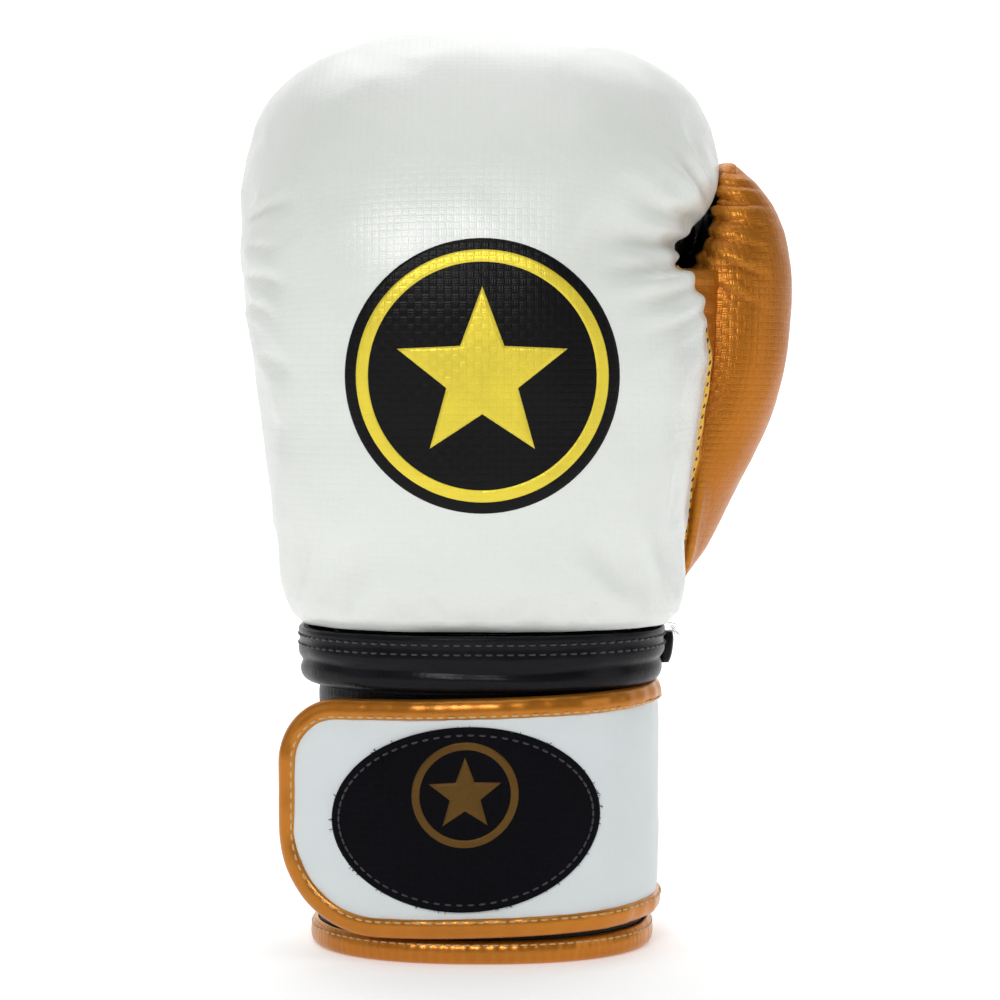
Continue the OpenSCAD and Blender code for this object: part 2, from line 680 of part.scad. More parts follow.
module strap_stitches() {
  n = 58;
  color(cream)
    placed()
      bricks([for (k = [1 : n - 2]) let (f = k / (n - 1), p = stitch_at(f, strap_t + 0.35),
          d = unit(stitch_at(f + 0.004, strap_t + 0.35) - stitch_at(f - 0.004, strap_t + 0.35)),
          u = unit(p - stitch_at(f, 0)), w = cross(d, u))
        [p, 1.5 * d, 0.4 * w, 0.2 * u]]);
}

hook_p = [for (k = [0 : 5]) 70 + 9.6 * k];

module hook_pad() {
  color(black)
    placed()
      skin([for (z = [-27, 0, 27]) [for (p = hook_p) strap_pt(p, z, -gap)]],
        [for (z = [-27, 0, 27]) [for (p = hook_p) strap_pt(p, z, -1.2)]],
        all_cells(3, 5), wrap = false);
}

// side of the strap: white panel round the thumb side, elastic across the slit
side_p0 = -66;
side_p = [for (k = [0 : 10]) side_p0 + k * (hinge_p - 0.7 - side_p0) / 10];
elastic_p = [for (k = [0 : 5]) anchor_p + 0.8 + k * (side_p0 - 0.6 - anchor_p - 0.8) / 5];
function side_grid(ps, lo, hi, up) = [for (z = [lo, (lo + hi) / 2, hi]) [for (p = ps) strap_pt(p, z, up)]];

module side_slab(ps, lo, hi, a, b) {
  skin(side_grid(ps, lo, hi, b), side_grid(ps, lo, hi, a), all_cells(3, len(ps) - 1), wrap = false);
}

module strap_side_shell() {
  w = strap_half - edge_w - 0.2;
  color(pearl)
    placed()
      side_slab(side_p, -w, w, 2, strap_t - 0.3);
}

module strap_side_backing() {
  w = strap_half - edge_w - 0.2;
  color(black)
    placed()
      side_slab(side_p, -w, w, 0, 1.8);
}

module strap_side_binding() {
  color(gold_trim)
    placed() {
      side_slab(side_p, strap_half - edge_w, strap_half, 0, strap_t);
      side_slab(side_p, -strap_half, -strap_half + edge_w, 0, strap_t);
    }
}

module strap_elastic() {
  color(black)
    placed()
      side_slab(elastic_p, -strap_half + 2, strap_half - 2, 0.6, 2.6);
}

module strap_anchor() {
  ps = [for (k = [0 : 2]) anchor_p - 12 + 6 * k];
  color(black)
    placed()
      skin([for (z = [-1, 0, 1]) [for (p = ps) strap_pt(p, z * (strap_half - 1), 2.8)]],
        [for (z = [-1, 0, 1]) [for (p = ps) strap_pt(p, z * (strap_half - 1), -0.2)]],
        all_cells(3, 2), wrap = false);
}

// ---------- patch on the strap ----------

patch_x = -5;
patch_rx = 42.5;
patch_rz = 29.3;
function find_p(x, lo, hi, n) = let (m = (lo + hi) / 2) n == 0 ? m
  : strap_line(m)[0] > x ? find_p(x, m, hi, n - 1) : find_p(x, lo, m, n - 1);
function on_strap(x, z, up) = strap_pt(find_p(x, 30, leave + strap_tail, 16), z, up);
function oval_ring(x, z, rx, rz, m, up) = [for (j = [0 : m - 1]) let (a = 360 * j / m)
  on_strap(x + rx * cos(a), z + rz * sin(a) - 0.02 * rx * cos(a), up)];

module oval_pad(x, z, rx, rz, m, lo, hi, fs) {
  pad(on_strap(x, z, hi), on_strap(x, z, lo),
    [for (f = fs) oval_ring(x, z, rx * f, rz * f, m, hi)],
    [for (f = fs) oval_ring(x, z, rx * f, rz * f, m, lo)]);
}

module strap_patch() {
  color(black)
    placed()
      oval_pad(patch_x, 0, patch_rx, patch_rz, 36, strap_t + 0.3, strap_t + 1.3, [0.34, 0.67, 1]);
}

module patch_stitches() {
  n = 52;
  up = strap_t + 1.7;
  color([0.25, 0.25, 0.25])
    placed()
      bricks([for (k = [0 : n - 1]) let (a = 360 * k / n,
          q = function(b, h) on_strap(patch_x + (patch_rx - 2.2) * cos(b),
            (patch_rz - 2.2) * sin(b) - 0.8 * cos(b), h),
          p = q(a, up), d = unit(q(a + 1, up) - q(a - 1, up)), u = unit(p - q(a, 0)))
        [p, 1.1 * d, 0.3 * cross(d, u), 0.2 * u]]);
}

roundel_z = 8;
roundel_r = 16.5;

module patch_roundel() {
  up = strap_t + 2.2;
  color(bronze)
    placed()
      skin([for (r = [roundel_r - 2, roundel_r]) oval_ring(patch_x, roundel_z, r, r, 30, up)],
        [for (r = [roundel_r - 2, roundel_r]) oval_ring(patch_x, roundel_z, r, r, 30, up - 0.6)],
        all_cells(2, 30));
}

module patch_emblem() {
  hi = function(x, z) on_strap(x, z, strap_t + 2.2);
  lo = function(x, z) on_strap(x, z, strap_t + 1.6);
  color(bronze)
    placed()
      pad(hi(patch_x, roundel_z), lo(patch_x, roundel_z),
        [star_ring(11.5, patch_x, roundel_z, hi)], [star_ring(11.5, patch_x, roundel_z, lo)]);
}

// ---------- drawing ----------

back_shell();
palm_panel();
finger_panel();
back_foam_outer();
back_foam_inner();
knuckle_foam_outer();
knuckle_foam_inner();
palm_foam();
finger_foam();
hand_lining();
grip_bar();
badge_disc();
badge_ring();
badge_emblem();
thumb_outer_panel();
thumb_inner_panel();
thumb_foam();
thumb_lining();
thumb_lock();
thumb_seam_piping();
thumb_seam_stitches();
cuff_shell();
cuff_foam();
cuff_lining();
cuff_band();
cuff_band_stitches();
band_tab();
cuff_binding();
cuff_binding_stitches();
cuff_tongue();
loop_pad();
strap_anchor();
strap_elastic();
strap_side_shell();
strap_side_backing();
strap_side_binding();
strap_end_shell();
strap_end_foam();
strap_end_backing();
strap_end_binding();
strap_stitches();
hook_pad();
strap_patch();
patch_stitches();
patch_roundel();
patch_emblem();
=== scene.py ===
import bpy
import bmesh
import math
import numpy as np
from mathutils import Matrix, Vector, noise
from mathutils.bvhtree import BVHTree


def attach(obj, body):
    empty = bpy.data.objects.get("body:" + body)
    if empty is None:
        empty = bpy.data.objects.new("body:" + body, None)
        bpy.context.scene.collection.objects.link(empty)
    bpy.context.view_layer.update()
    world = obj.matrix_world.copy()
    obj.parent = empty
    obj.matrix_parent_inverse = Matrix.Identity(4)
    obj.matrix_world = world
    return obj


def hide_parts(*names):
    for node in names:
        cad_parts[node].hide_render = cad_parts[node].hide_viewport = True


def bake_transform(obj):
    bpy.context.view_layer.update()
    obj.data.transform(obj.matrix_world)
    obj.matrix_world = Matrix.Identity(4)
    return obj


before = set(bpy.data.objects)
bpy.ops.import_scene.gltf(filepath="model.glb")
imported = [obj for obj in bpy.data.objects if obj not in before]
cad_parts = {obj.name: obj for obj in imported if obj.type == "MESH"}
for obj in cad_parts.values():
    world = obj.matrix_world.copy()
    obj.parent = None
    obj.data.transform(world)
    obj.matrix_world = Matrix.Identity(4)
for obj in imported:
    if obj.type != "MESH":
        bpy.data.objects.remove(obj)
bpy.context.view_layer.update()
MM = 0.001
SHIFT = np.array([-11.55, -2.6, 0.0])

# ------------------------------------------------------------------ forms (same as the CAD frame)
N = 2.5
CREASE = (25.0, 197.0)
LOWER = [(105.4, -3, 43.5, 60.3, 61.9), (113, -4.5, 45.5, 62.3, 64), (122, -6, 47, 65, 66),
         (133, -7.5, 48.2, 67.6, 68), (145, -9, 49, 69.4, 69.7), (158, -12, 48, 70.8, 71.2),
         (170, -15, 45.5, 72.4, 72.4), (181, -17.8, 43.6, 73.8, 73.4), (190, -19.3, 42.5, 74.7, 73.7)]
ROLL = [(0, 87, 75.4, 73.4), (15, 89, 77, 71), (30, 93, 78.5, 68.4), (45, 98, 78.8, 71),
        (60, 102, 78.8, 75), (75, 104, 78.5, 78), (90, 101, 77.5, 78), (105, 91, 75.5, 76),
        (120, 76, 73, 72), (135, 62, 70, 66), (150, 52, 67, 61), (165, 46, 65, 58),
        (180, 43, 63, 56), (195, 39, 60, 54), (212, 33, 56, 50), (228, 28, 50, 46)]


def stations():
    rows = [(y, z, 0.0, h, al, ar) for z, y, h, al, ar in LOWER]
    for a, hi, al, ar in ROLL:
        m, h = (hi + 3) / 2, (hi - 3) / 2
        r = math.radians(a)
        rows.append((CREASE[0] - m * math.cos(r), CREASE[1] + m * math.sin(r), a, h, al, ar))
    return np.array(rows, float)


ST = stations()


def cubic(tab, s):
    """Catmull-Rom through the rows of tab at the fractional rows s."""
    s = np.clip(np.asarray(s, float), 0, len(tab) - 1)
    i = np.minimum(s.astype(int), len(tab) - 2)
    f = (s - i)[:, None]
    p = [tab[np.clip(i + k, 0, len(tab) - 1)] for k in (-1, 0, 1, 2)]
    return 0.5 * (2 * p[1] + (p[2] - p[0]) * f + (2 * p[0] - 5 * p[1] + 4 * p[2] - p[3]) * f ** 2
                  + (3 * p[1] - p[0] - 3 * p[2] + p[3]) * f ** 3)


def spow(c, e):
    return np.sign(c) * np.abs(c) ** e


def mitt(s, t):
    """Points of the mitt's outer form: rows s (n,), angles t in degrees (m,) -> (n, m, 3) in mm."""
    q = cubic(ST, s)
    t = np.radians(np.asarray(t, float))
    u, v = spow(np.cos(t), 2 / N)[None], spow(np.sin(t), 2 / N)[None]
    y0, z0, a, h, al, ar = [q[:, k:k + 1] for k in range(6)]
    a = np.radians(a)
    w = np.where(u > 0, ar, al)
    return np.stack([w * u, y0 - h * v * np.cos(a), z0 + h * v * np.sin(a)], -1)


def grid_normals(P):
    du = np.gradient(P, axis=1)
    ds = np.gradient(P, axis=0)
    n = np.cross(ds, du)
    ln = np.linalg.norm(n, axis=-1, keepdims=True)
    ln[ln < 1e-9] = 1
    return n / ln


def smooth01(x):
    x = np.clip(x, 0, 1)
    return x * x * (3 - 2 * x)


def bump1(x, c, w):
    return np.exp(-((x - c) / w) ** 2)


def run_length(points):
    """Length in mm from the first point to each point of a line."""
    return np.concatenate([[0], np.cumsum(np.linalg.norm(np.diff(points, axis=0), axis=1))])


# ------------------------------------------------------------------ mesh helpers
def add_mesh(name, verts, faces, mat, body, smooth=True, uvs=None):
    me = bpy.data.meshes.new(name)
    me.from_pydata([tuple(v) for v in verts], [], faces)
    me.update()
    if uvs is not None:
        lay = me.uv_layers.new(name="UVMap")
        co = np.zeros(len(me.loops) * 2)
        idx = np.zeros(len(me.loops), int)
        me.loops.foreach_get("vertex_index", idx)
        co = np.asarray(uvs)[idx].reshape(-1)
        lay.data.foreach_set("uv", co)
    ob = bpy.data.objects.new(name, me)
    bpy.context.scene.collection.objects.link(ob)
    if mat:
        me.materials.append(mat)
    if smooth:
        me.polygons.foreach_set("use_smooth", [True] * len(me.polygons))
    if body:
        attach(ob, body)
    return ob


def to_m(P):
    return (np.asarray(P).reshape(-1, 3) + SHIFT) * MM


def grid_faces(n, m, wrap=False, flip=False):
    f = []
    mm = m if wrap else m - 1
    for i in range(n - 1):
        for j in range(mm):
            a, b = i * m + j, i * m + (j + 1) % m
            q = (a, b, b + m, a + m)
            f.append(q[::-1] if not flip else q)
    return f


def subdivide(ob):
    k = ob.modifiers.new("sub", "SUBSURF")
    k.levels = k.render_levels = 1


def thicken(ob, thick):
    k = ob.modifiers.new("thick", "SOLIDIFY")
    k.thickness = thick * MM
    k.offset = -1


def face_outwards(ob):
    bm = bmesh.new()
    bm.from_mesh(ob.data)
    bmesh.ops.recalc_face_normals(bm, faces=bm.faces)
    bm.to_mesh(ob.data)
    bm.free()


def sheet_mesh(name, P, mat, body, thick=None, wrap=False, soft=False, flip=False, uv=None):
    """A grid of points as a surface, thickened inwards by thick mm."""
    n, m = P.shape[:2]
    ob = add_mesh(name, to_m(P), grid_faces(n, m, wrap, flip), mat, body,
                  uvs=None if uv is None else uv.reshape(-1, 2))
    if soft:
        subdivide(ob)
    if thick:
        thicken(ob, thick)
    apply_mods(ob)
    return ob


def apply_mods(ob):
    if not ob.modifiers:
        return
    dg = bpy.context.evaluated_depsgraph_get()
    dg.update()
    me = bpy.data.meshes.new_from_object(ob.evaluated_get(dg), depsgraph=dg)
    old = ob.data
    ob.modifiers.clear()
    ob.data = me
    name = old.name
    bpy.data.meshes.remove(old)
    me.name = name
    me.polygons.foreach_set("use_smooth", [True] * len(me.polygons))


def tube(name, pts, r, mat, body, sides=10):
    """A round tube of radius r along pts, both in mm."""
    pts = np.asarray(pts, float)
    n = len(pts)
    tan = np.gradient(pts, axis=0)
    tan /= np.linalg.norm(tan, axis=1, keepdims=True)
    upright = np.abs(tan[:, 2]) > 0.95
    up = np.tile([0.0, -1, 0.0] if upright.any() else [0.0, 0, 1.0], (n, 1))
    side = np.cross(tan, up)
    side /= np.linalg.norm(side, axis=1, keepdims=True)
    out = np.cross(side, tan)
    a = np.linspace(0, 2 * np.pi, sides, endpoint=False)[None, :, None]
    P = pts[:, None] + r * np.cos(a) * side[:, None] + r * np.sin(a) * out[:, None]
    faces = grid_faces(n, sides, True)
    faces.append(tuple(range(sides)))
    faces.append(tuple((n - 1) * sides + j for j in range(sides - 1, -1, -1)))
    return add_mesh(name, to_m(P), faces, mat, body)


def loft(name, P, mat, body, pitch, flip=False):
    """A closed profile swept along a line, P[place, profile], with both ends capped."""
    n, m = P.shape[:2]
    ends = [tuple(range(m)), tuple((n - 1) * m + j for j in range(m - 1, -1, -1))]
    if flip:
        ends = [e[::-1] for e in ends]
    uv = np.stack(np.broadcast_arrays(np.arange(n)[:, None] * pitch[0], np.arange(m)[None] * pitch[1]), -1)
    ob = add_mesh(name, to_m(P), grid_faces(n, m, True, flip=flip) + ends, mat, body,
                  uvs=uv.reshape(-1, 2).astype(float))
    subdivide(ob)
    apply_mods(ob)
    return ob


def stitches(name, frames, mat, body, size):
    """Rounded thread stitches: frames of (centre, along, out) in mm, size (length, width, height)."""
    L, W, H = size
    prof = []
    ring = 8
    segs = [(-0.5, 0.25), (-0.46, 0.62), (-0.3, 0.95), (0, 1.0), (0.3, 0.95), (0.46, 0.62), (0.5, 0.25)]
    V, F = [], []
    for c, d, u in frames:
        c, d, u = np.array(c, float), np.array(d, float), np.array(u, float)
        d /= np.linalg.norm(d)
        u -= d * (u @ d)
        u /= np.linalg.norm(u)
        s = np.cross(d, u)
        b = len(V)
        for x, k in segs:
            for j in range(ring):
                a = 2 * math.pi * j / ring
                dip = -H * 0.55 * (2 * abs(x)) ** 3
                V.append(c + d * L * x + s * math.cos(a) * W / 2 * k + u * (math.sin(a) * H / 2 * k + dip))
        for i in range(len(segs) - 1):
            for j in range(ring):
                l = (j + 1) % ring
                F.append((b + i * ring + j, b + i * ring + l, b + (i + 1) * ring + l, b + (i + 1) * ring + j))
        F.append(tuple(b + j for j in range(ring - 1, -1, -1)))
        F.append(tuple(b + (len(segs) - 1) * ring + j for j in range(ring)))
    return add_mesh(name, to_m(V), F, mat, body)


# ------------------------------------------------------------------ materials
def new_mat(name):
    m = bpy.data.materials.new(name)
    m.use_nodes = True
    nt = m.node_tree
    nt.nodes.clear()
    out = nt.nodes.new("ShaderNodeOutputMaterial")
    bs = nt.nodes.new("ShaderNodeBsdfPrincipled")
    nt.links.new(bs.outputs[0], out.inputs[0])
    return m, nt, bs


def node(nt, kind, **kw):
    n = nt.nodes.new(kind)
    for k, v in kw.items():
        if k in n.inputs.keys():
            n.inputs[k].default_value = v
        else:
            setattr(n, k, v)
    return n


def mixc(nt, fac, a, b):
    m = nt.nodes.new("ShaderNodeMix")
    m.data_type = "RGBA"
    for sock, val in ((0, fac), (6, a), (7, b)):
        if hasattr(val, "links") or isinstance(val, bpy.types.NodeSocket):
            nt.links.new(val, m.inputs[sock])
        else:
            m.inputs[sock].default_value = val
    return m.outputs[2]


def math_n(nt, op, a, b=None):
    m = nt.nodes.new("ShaderNodeMath")
    m.operation = op
    for k, v in enumerate((a, b)):
        if v is None:
            continue
        if isinstance(v, bpy.types.NodeSocket):
            nt.links.new(v, m.inputs[k])
        else:
            m.inputs[k].default_value = v
    return m.outputs[0]


def ramp(nt, fac, stops):
    r = nt.nodes.new("ShaderNodeValToRGB")
    nt.links.new(fac, r.inputs[0])
    e = r.color_ramp.elements
    while len(e) < len(stops):
        e.new(0.5)
    for k, (p, c) in enumerate(stops):
        e[k].position = p
        e[k].color = (c, c, c, 1) if isinstance(c, (int, float)) else (*c, 1)
    return r.outputs[0]


def bump_chain(nt, bs, items, into=("Normal",)):
    """items: (height socket, strength, distance in metres), stacked."""
    last = None
    for h, st, dist in items:
        b = nt.nodes.new("ShaderNodeBump")
        b.inputs["Strength"].default_value = st
        b.inputs["Distance"].default_value = dist
        nt.links.new(h, b.inputs["Height"])
        if last:
            nt.links.new(last, b.inputs["Normal"])
        last = b.outputs[0]
    for k in into:
        nt.links.new(last, bs.inputs[k])


def emboss(nt, uv, cell):
    """Small embossed checker of raised squares, each ribbed the other way, from uv in mm."""
    mp = node(nt, "ShaderNodeMapping")
    nt.links.new(uv, mp.inputs[0])
    s = 1.0 / cell
    mp.inputs["Scale"].default_value = (s, s, s)
    sep = node(nt, "ShaderNodeSeparateXYZ")
    nt.links.new(mp.outputs[0], sep.inputs[0])
    x, y = sep.outputs[0], sep.outputs[1]
    fx, fy = math_n(nt, "FRACT", x), math_n(nt, "FRACT", y)
    # soft domes in each cell
    dx = math_n(nt, "SINE", math_n(nt, "MULTIPLY", fx, math.pi))
    dy = math_n(nt, "SINE", math_n(nt, "MULTIPLY", fy, math.pi))
    dome = math_n(nt, "POWER", math_n(nt, "MULTIPLY", dx, dy), 0.45)
    chk = node(nt, "ShaderNodeTexChecker", Scale=1.0)
    nt.links.new(mp.outputs[0], chk.inputs["Vector"])
    rib_x = math_n(nt, "SINE", math_n(nt, "MULTIPLY", fx, 6 * math.pi))
    rib_y = math_n(nt, "SINE", math_n(nt, "MULTIPLY", fy, 6 * math.pi))
    f = chk.outputs["Fac"]
    rib = math_n(nt, "ADD", math_n(nt, "MULTIPLY", rib_x, f),
                 math_n(nt, "MULTIPLY", rib_y, math_n(nt, "SUBTRACT", 1.0, f)))
    both = math_n(nt, "ADD", math_n(nt, "MULTIPLY", dome, 0.8), math_n(nt, "MULTIPLY", rib, 0.16))
    lift = math_n(nt, "MULTIPLY", f, 0.35)
    return math_n(nt, "ADD", both, lift)


def leather(name, col, rough, emb=None, emb_d=0.00006, coat=0.0, metal=0.0, grain=1.0, var=0.06,
            spec=0.5, coat_rough=0.2, crease_shade=None, ridge_highlight=None, fine=1.0):
    m, nt, bs = new_mat(name)
    tc = node(nt, "ShaderNodeTexCoord")
    obj = tc.outputs["Object"]
    big = node(nt, "ShaderNodeTexNoise", Scale=14.0, Detail=3.0, Roughness=0.55)
    nt.links.new(obj, big.inputs["Vector"])
    mid = node(nt, "ShaderNodeTexNoise", Scale=160.0, Detail=3.0, Roughness=0.6)
    nt.links.new(obj, mid.inputs["Vector"])
    vor = node(nt, "ShaderNodeTexVoronoi", Scale=1500.0, Randomness=1.0)
    vor.feature = "DISTANCE_TO_EDGE"
    nt.links.new(obj, vor.inputs["Vector"])
    peb = ramp(nt, vor.outputs["Distance"], [(0.0, 0.0), (0.25, 1.0)])
    c1 = mixc(nt, ramp(nt, big.outputs[0], [(0.35, 0.0), (0.65, 1.0)]),
              (*[max(0, c * (1 - var)) for c in col], 1), (*[min(1, c * (1 + var * 0.6)) for c in col], 1))
    c2 = mixc(nt, math_n(nt, "MULTIPLY", ramp(nt, mid.outputs[0], [(0.4, 0.0), (0.7, 1.0)]), 0.35),
              c1, (*[min(1, c * (1 + var)) for c in col], 1))
    geo = node(nt, "ShaderNodeNewGeometry")
    point = geo.outputs["Pointiness"]
    # painted shade: a darker copy of the colour is mixed into the creases and hollows, where Pointiness is
    # low
    if crease_shade:
        crease_shade_mask = ramp(nt, point, [(0.42, 1.0), (0.5, 0.0)])
        c2 = mixc(nt, math_n(nt, "MULTIPLY", crease_shade_mask, crease_shade[1]), c2, (*crease_shade[0], 1))
    # painted highlight: a lighter copy of the colour is mixed onto ridges and edges, where Pointiness is
    # high; hi is that ridge mask
    if ridge_highlight:
        hi = ramp(nt, point, [(0.51, 0.0), (0.6, 1.0)])
        c2 = mixc(nt, math_n(nt, "MULTIPLY", hi, ridge_highlight[1]), c2, (*ridge_highlight[0], 1))
    nt.links.new(c2, bs.inputs["Base Color"])
    rr = math_n(nt, "ADD", math_n(nt, "MULTIPLY", mid.outputs[0], 0.16), rough - 0.08)
    nt.links.new(rr, bs.inputs["Roughness"])
    bs.inputs["Metallic"].default_value = metal
    bs.inputs["Specular IOR Level"].default_value = spec
    bs.inputs["Coat Weight"].default_value = coat
    bs.inputs["Coat Roughness"].default_value = coat_rough
    items = [(peb, 0.25 * grain, 0.00004), (mid.outputs[0], 0.35 * fine, 0.0003)]
    if emb:
        uv = node(nt, "ShaderNodeUVMap")
        uv.uv_map = "UVMap"
        items.append((emboss(nt, uv.outputs[0], emb), 1.0, emb_d))
    bump_chain(nt, bs, items, ("Normal", "Coat Normal"))
    return m


def thread(name, col):
    m, nt, bs = new_mat(name)
    tc = node(nt, "ShaderNodeTexCoord")
    w = node(nt, "ShaderNodeTexNoise", Scale=2500.0, Detail=2.0)
    nt.links.new(tc.outputs["Object"], w.inputs["Vector"])
    c = mixc(nt, w.outputs[0], (*[v * 0.7 for v in col], 1), (*[min(1, v * 1.2) for v in col], 1))
    nt.links.new(c, bs.inputs["Base Color"])
    bs.inputs["Roughness"].default_value = 0.6
    bs.inputs["Sheen Weight"].default_value = 0.3
    bump_chain(nt, bs, [(w.outputs[0], 0.6, 0.0002)])
    return m


def woven(name, col, scale=900.0):
    m, nt, bs = new_mat(name)
    tc = node(nt, "ShaderNodeTexCoord")
    yarns = []
    for way in ("Z", "DIAGONAL"):
        w = node(nt, "ShaderNodeTexWave", Scale=scale / 6, Distortion=1.5, Detail=1.0)
        w.wave_type = "BANDS"
        w.bands_direction = way
        nt.links.new(tc.outputs["Object"], w.inputs["Vector"])
        yarns.append(w.outputs[1])
    h = math_n(nt, "MULTIPLY", *yarns)
    c = mixc(nt, h, (*[v * 0.55 for v in col], 1), (*[min(1, v * 1.25) for v in col], 1))
    nt.links.new(c, bs.inputs["Base Color"])
    bs.inputs["Roughness"].default_value = 0.85
    bs.inputs["Sheen Weight"].default_value = 0.3
    bump_chain(nt, bs, [(h, 0.6, 0.0003)])
    return m


# The darker crease colour given to each white leather below is painted shade in its creases.
WHITE = leather("pearl_leather", (0.80, 0.83, 0.79), 0.34, emb=2.3, emb_d=0.00006, coat=0.45,
                coat_rough=0.27, grain=0.6, var=0.025, crease_shade=((0.42, 0.38, 0.28), 0.5), fine=0.7)
STRAPWHITE = leather("strap_leather", (0.72, 0.77, 0.78), 0.38, emb=2.0, emb_d=0.00002, coat=0.2,
                     coat_rough=0.3, grain=0.6, var=0.02, crease_shade=((0.45, 0.42, 0.33), 0.35))
# The gold leathers get a darker gold in their creases as painted shade and a lighter gold on their ridges as
# a painted highlight.
GOLD = leather("gold_leather", (0.50, 0.165, 0.010), 0.36, emb=2.3, emb_d=0.00013, coat=0.08, metal=0.6,
               coat_rough=0.25, grain=0.8, var=0.1, crease_shade=((0.16, 0.05, 0.008), 0.6),
               ridge_highlight=((0.85, 0.45, 0.06), 0.35), spec=0.35)
TRIM = leather("gold_trim", (0.52, 0.175, 0.010), 0.3, coat=0.12, metal=0.65, coat_rough=0.15, grain=1.0,
               var=0.12, crease_shade=((0.2, 0.06, 0.01), 0.6), ridge_highlight=((0.9, 0.55, 0.15), 0.5))
BLACK = leather("black_leather", (0.003, 0.003, 0.004), 0.36, emb=2.3, emb_d=0.0001, coat=0.05,
                coat_rough=0.28, grain=1.0, var=0.2, spec=0.13)
BLACKP = leather("black_patch", (0.003, 0.003, 0.005), 0.46, emb=2.3, emb_d=0.0001, coat=0.0,
                 coat_rough=0.4, grain=0.8, var=0.25, spec=0.05)
PRINT = leather("gold_print", (0.86, 0.69, 0.05), 0.4, emb=2.3, emb_d=0.00009, coat=0.1, metal=0.4,
                coat_rough=0.35, grain=1.2, var=0.14)
BRONZE = leather("bronze_print", (0.13, 0.065, 0.012), 0.45, emb=2.3, emb_d=0.00006, metal=0.5, grain=1.2,
                 var=0.2, spec=0.2)
LINING = woven("lining_cloth", (0.016, 0.016, 0.018))
ELASTIC = woven("elastic_web", (0.02, 0.02, 0.022), scale=1500)
HOOK = woven("hook_tape", (0.012, 0.012, 0.012), scale=2200)
CREAM = thread("cream_thread", (0.62, 0.42, 0.17))
DARK = thread("black_thread", (0.03, 0.03, 0.032))
WHITETH = thread("white_thread", (0.75, 0.75, 0.72))
DARKG = thread("grey_black_thread", (0.022, 0.022, 0.025))
BLACKB = leather("band_leather", (0.005, 0.005, 0.007), 0.3, emb=2.3, emb_d=0.00003, coat=0.1,
                 coat_rough=0.2, grain=0.8, var=0.2, spec=0.1)
EDGE = leather("edge_piping", (0.75, 0.42, 0.04), 0.28, coat=0.4, metal=0.55, coat_rough=0.15, var=0.1)

# ------------------------------------------------------------------ mitt
ROWS = len(ST) - 1


def interp(x, tab):
    tab = sorted(tab)
    return np.interp(x, [p[0] for p in tab], [p[1] for p in tab])


# half widths that the glove's outline has at each height, little finger side and thumb side
SIL_L = [(104, 60.6), (108, 61.6), (116.5, 64), (126, 66.8), (142, 70.4), (161, 72.2), (180, 73.8),
         (198, 75.5), (214.5, 77.0), (227, 78.8), (246, 78.6), (258, 77.6), (268, 75.6), (276, 72.5)]
SIL_R = [(104, 63.4), (116.5, 65.6), (127, 66.9), (138, 68.7), (162, 71.4), (178, 72.9), (191, 73.7),
         (205, 72.6), (213, 70.8), (219, 68.2), (224, 66.6), (229, 67.8), (236, 71.2), (243, 76.0),
         (250, 78.0), (257, 78.3), (265, 77.0), (272, 73.4), (278, 69)]


def outline(P):
    zz = np.arange(104, 280, 2.0)
    lo, hi = [], []
    flat = P.reshape(-1, 3)
    for z in zz:
        k = np.abs(flat[:, 2] - z) < 2.2
        lo.append(-flat[k, 0].min())
        hi.append(flat[k, 0].max())
    return zz, np.array(lo), np.array(hi)


OUT_Z, OUT_L, OUT_R = outline(mitt(np.linspace(0, ROWS, 260), np.arange(-180, 180, 2.0)))


def settle(P):
    """Moves the mitt's sides onto the outline, and leaves its middle and its palm alone."""
    Q = P.copy()
    x, y, z = P[..., 0], P[..., 1], P[..., 2]
    w = smooth01((np.abs(x) - 22) / 44)
    front = smooth01((46 - y) / 34)
    dl = interp(z, SIL_L) - np.interp(z, OUT_Z, OUT_L)
    dr = interp(z, SIL_R) - np.interp(z, OUT_Z, OUT_R)
    top = smooth01((279 - z) / 14)
    Q[..., 0] = x + np.where(x > 0, dr, -dl) * w * front * top
    return Q


def fold(x, z, a, b, width, depth, soft=0.25):
    """A crease from a to b on the front of the mitt: a groove with a swell along each side."""
    a, b = np.array(a, float), np.array(b, float)
    d = b - a
    L = np.linalg.norm(d)
    d /= L
    u = ((x - a[0]) * d[0] + (z - a[1]) * d[1]) / L
    v = -(x - a[0]) * d[1] + (z - a[1]) * d[0]
    v = v - soft * L * 0.25 * np.sin(np.pi * np.clip(u, 0, 1))
    w = width * (0.55 + 0.6 * np.clip(u, 0, 1))
    env = smooth01((u + 0.12) / 0.2) * smooth01((1.08 - u) / 0.75)
    return depth * env * (-np.exp(-(v / w) ** 2) + 0.55 * np.exp(-((v - 1.9 * w) / (1.1 * w)) ** 2)
                          + 0.45 * np.exp(-((v + 1.9 * w) / (1.1 * w)) ** 2))


def nz(P, scale, seed):
    """Soft noise of two octaves at the points P."""
    flat = P.reshape(-1, 3)
    out = np.array([noise.fractal(Vector((p[0] * scale + seed, p[1] * scale, p[2] * scale)), 1.0, 2.0, 2)
                    for p in flat])
    return out.reshape(P.shape[:-1])


def puckers(s_mm, dist, seed, wave, reach, amp):
    """Gathers that run away from a seam: s_mm along the seam, dist from it, both in mm."""
    drift = 0.55 * np.sin(s_mm / 13.0 + seed) + 0.35 * np.sin(s_mm / 5.1 + 2.1 * seed)
    ph = (s_mm / wave + drift) * 2 * np.pi
    k = 0.65 + 0.35 * np.sin(s_mm / 9.0 + seed * 3)
    return amp * k * (np.sin(ph) * 0.8 - 0.35) * np.exp(-np.clip(dist, 0, None) / reach)


def seam_length(P, axis=0):
    d = np.linalg.norm(np.diff(P, axis=axis), axis=-1)
    return np.concatenate([np.zeros_like(np.take(d, [0], axis=axis)), np.cumsum(d, axis=axis)], axis=axis)


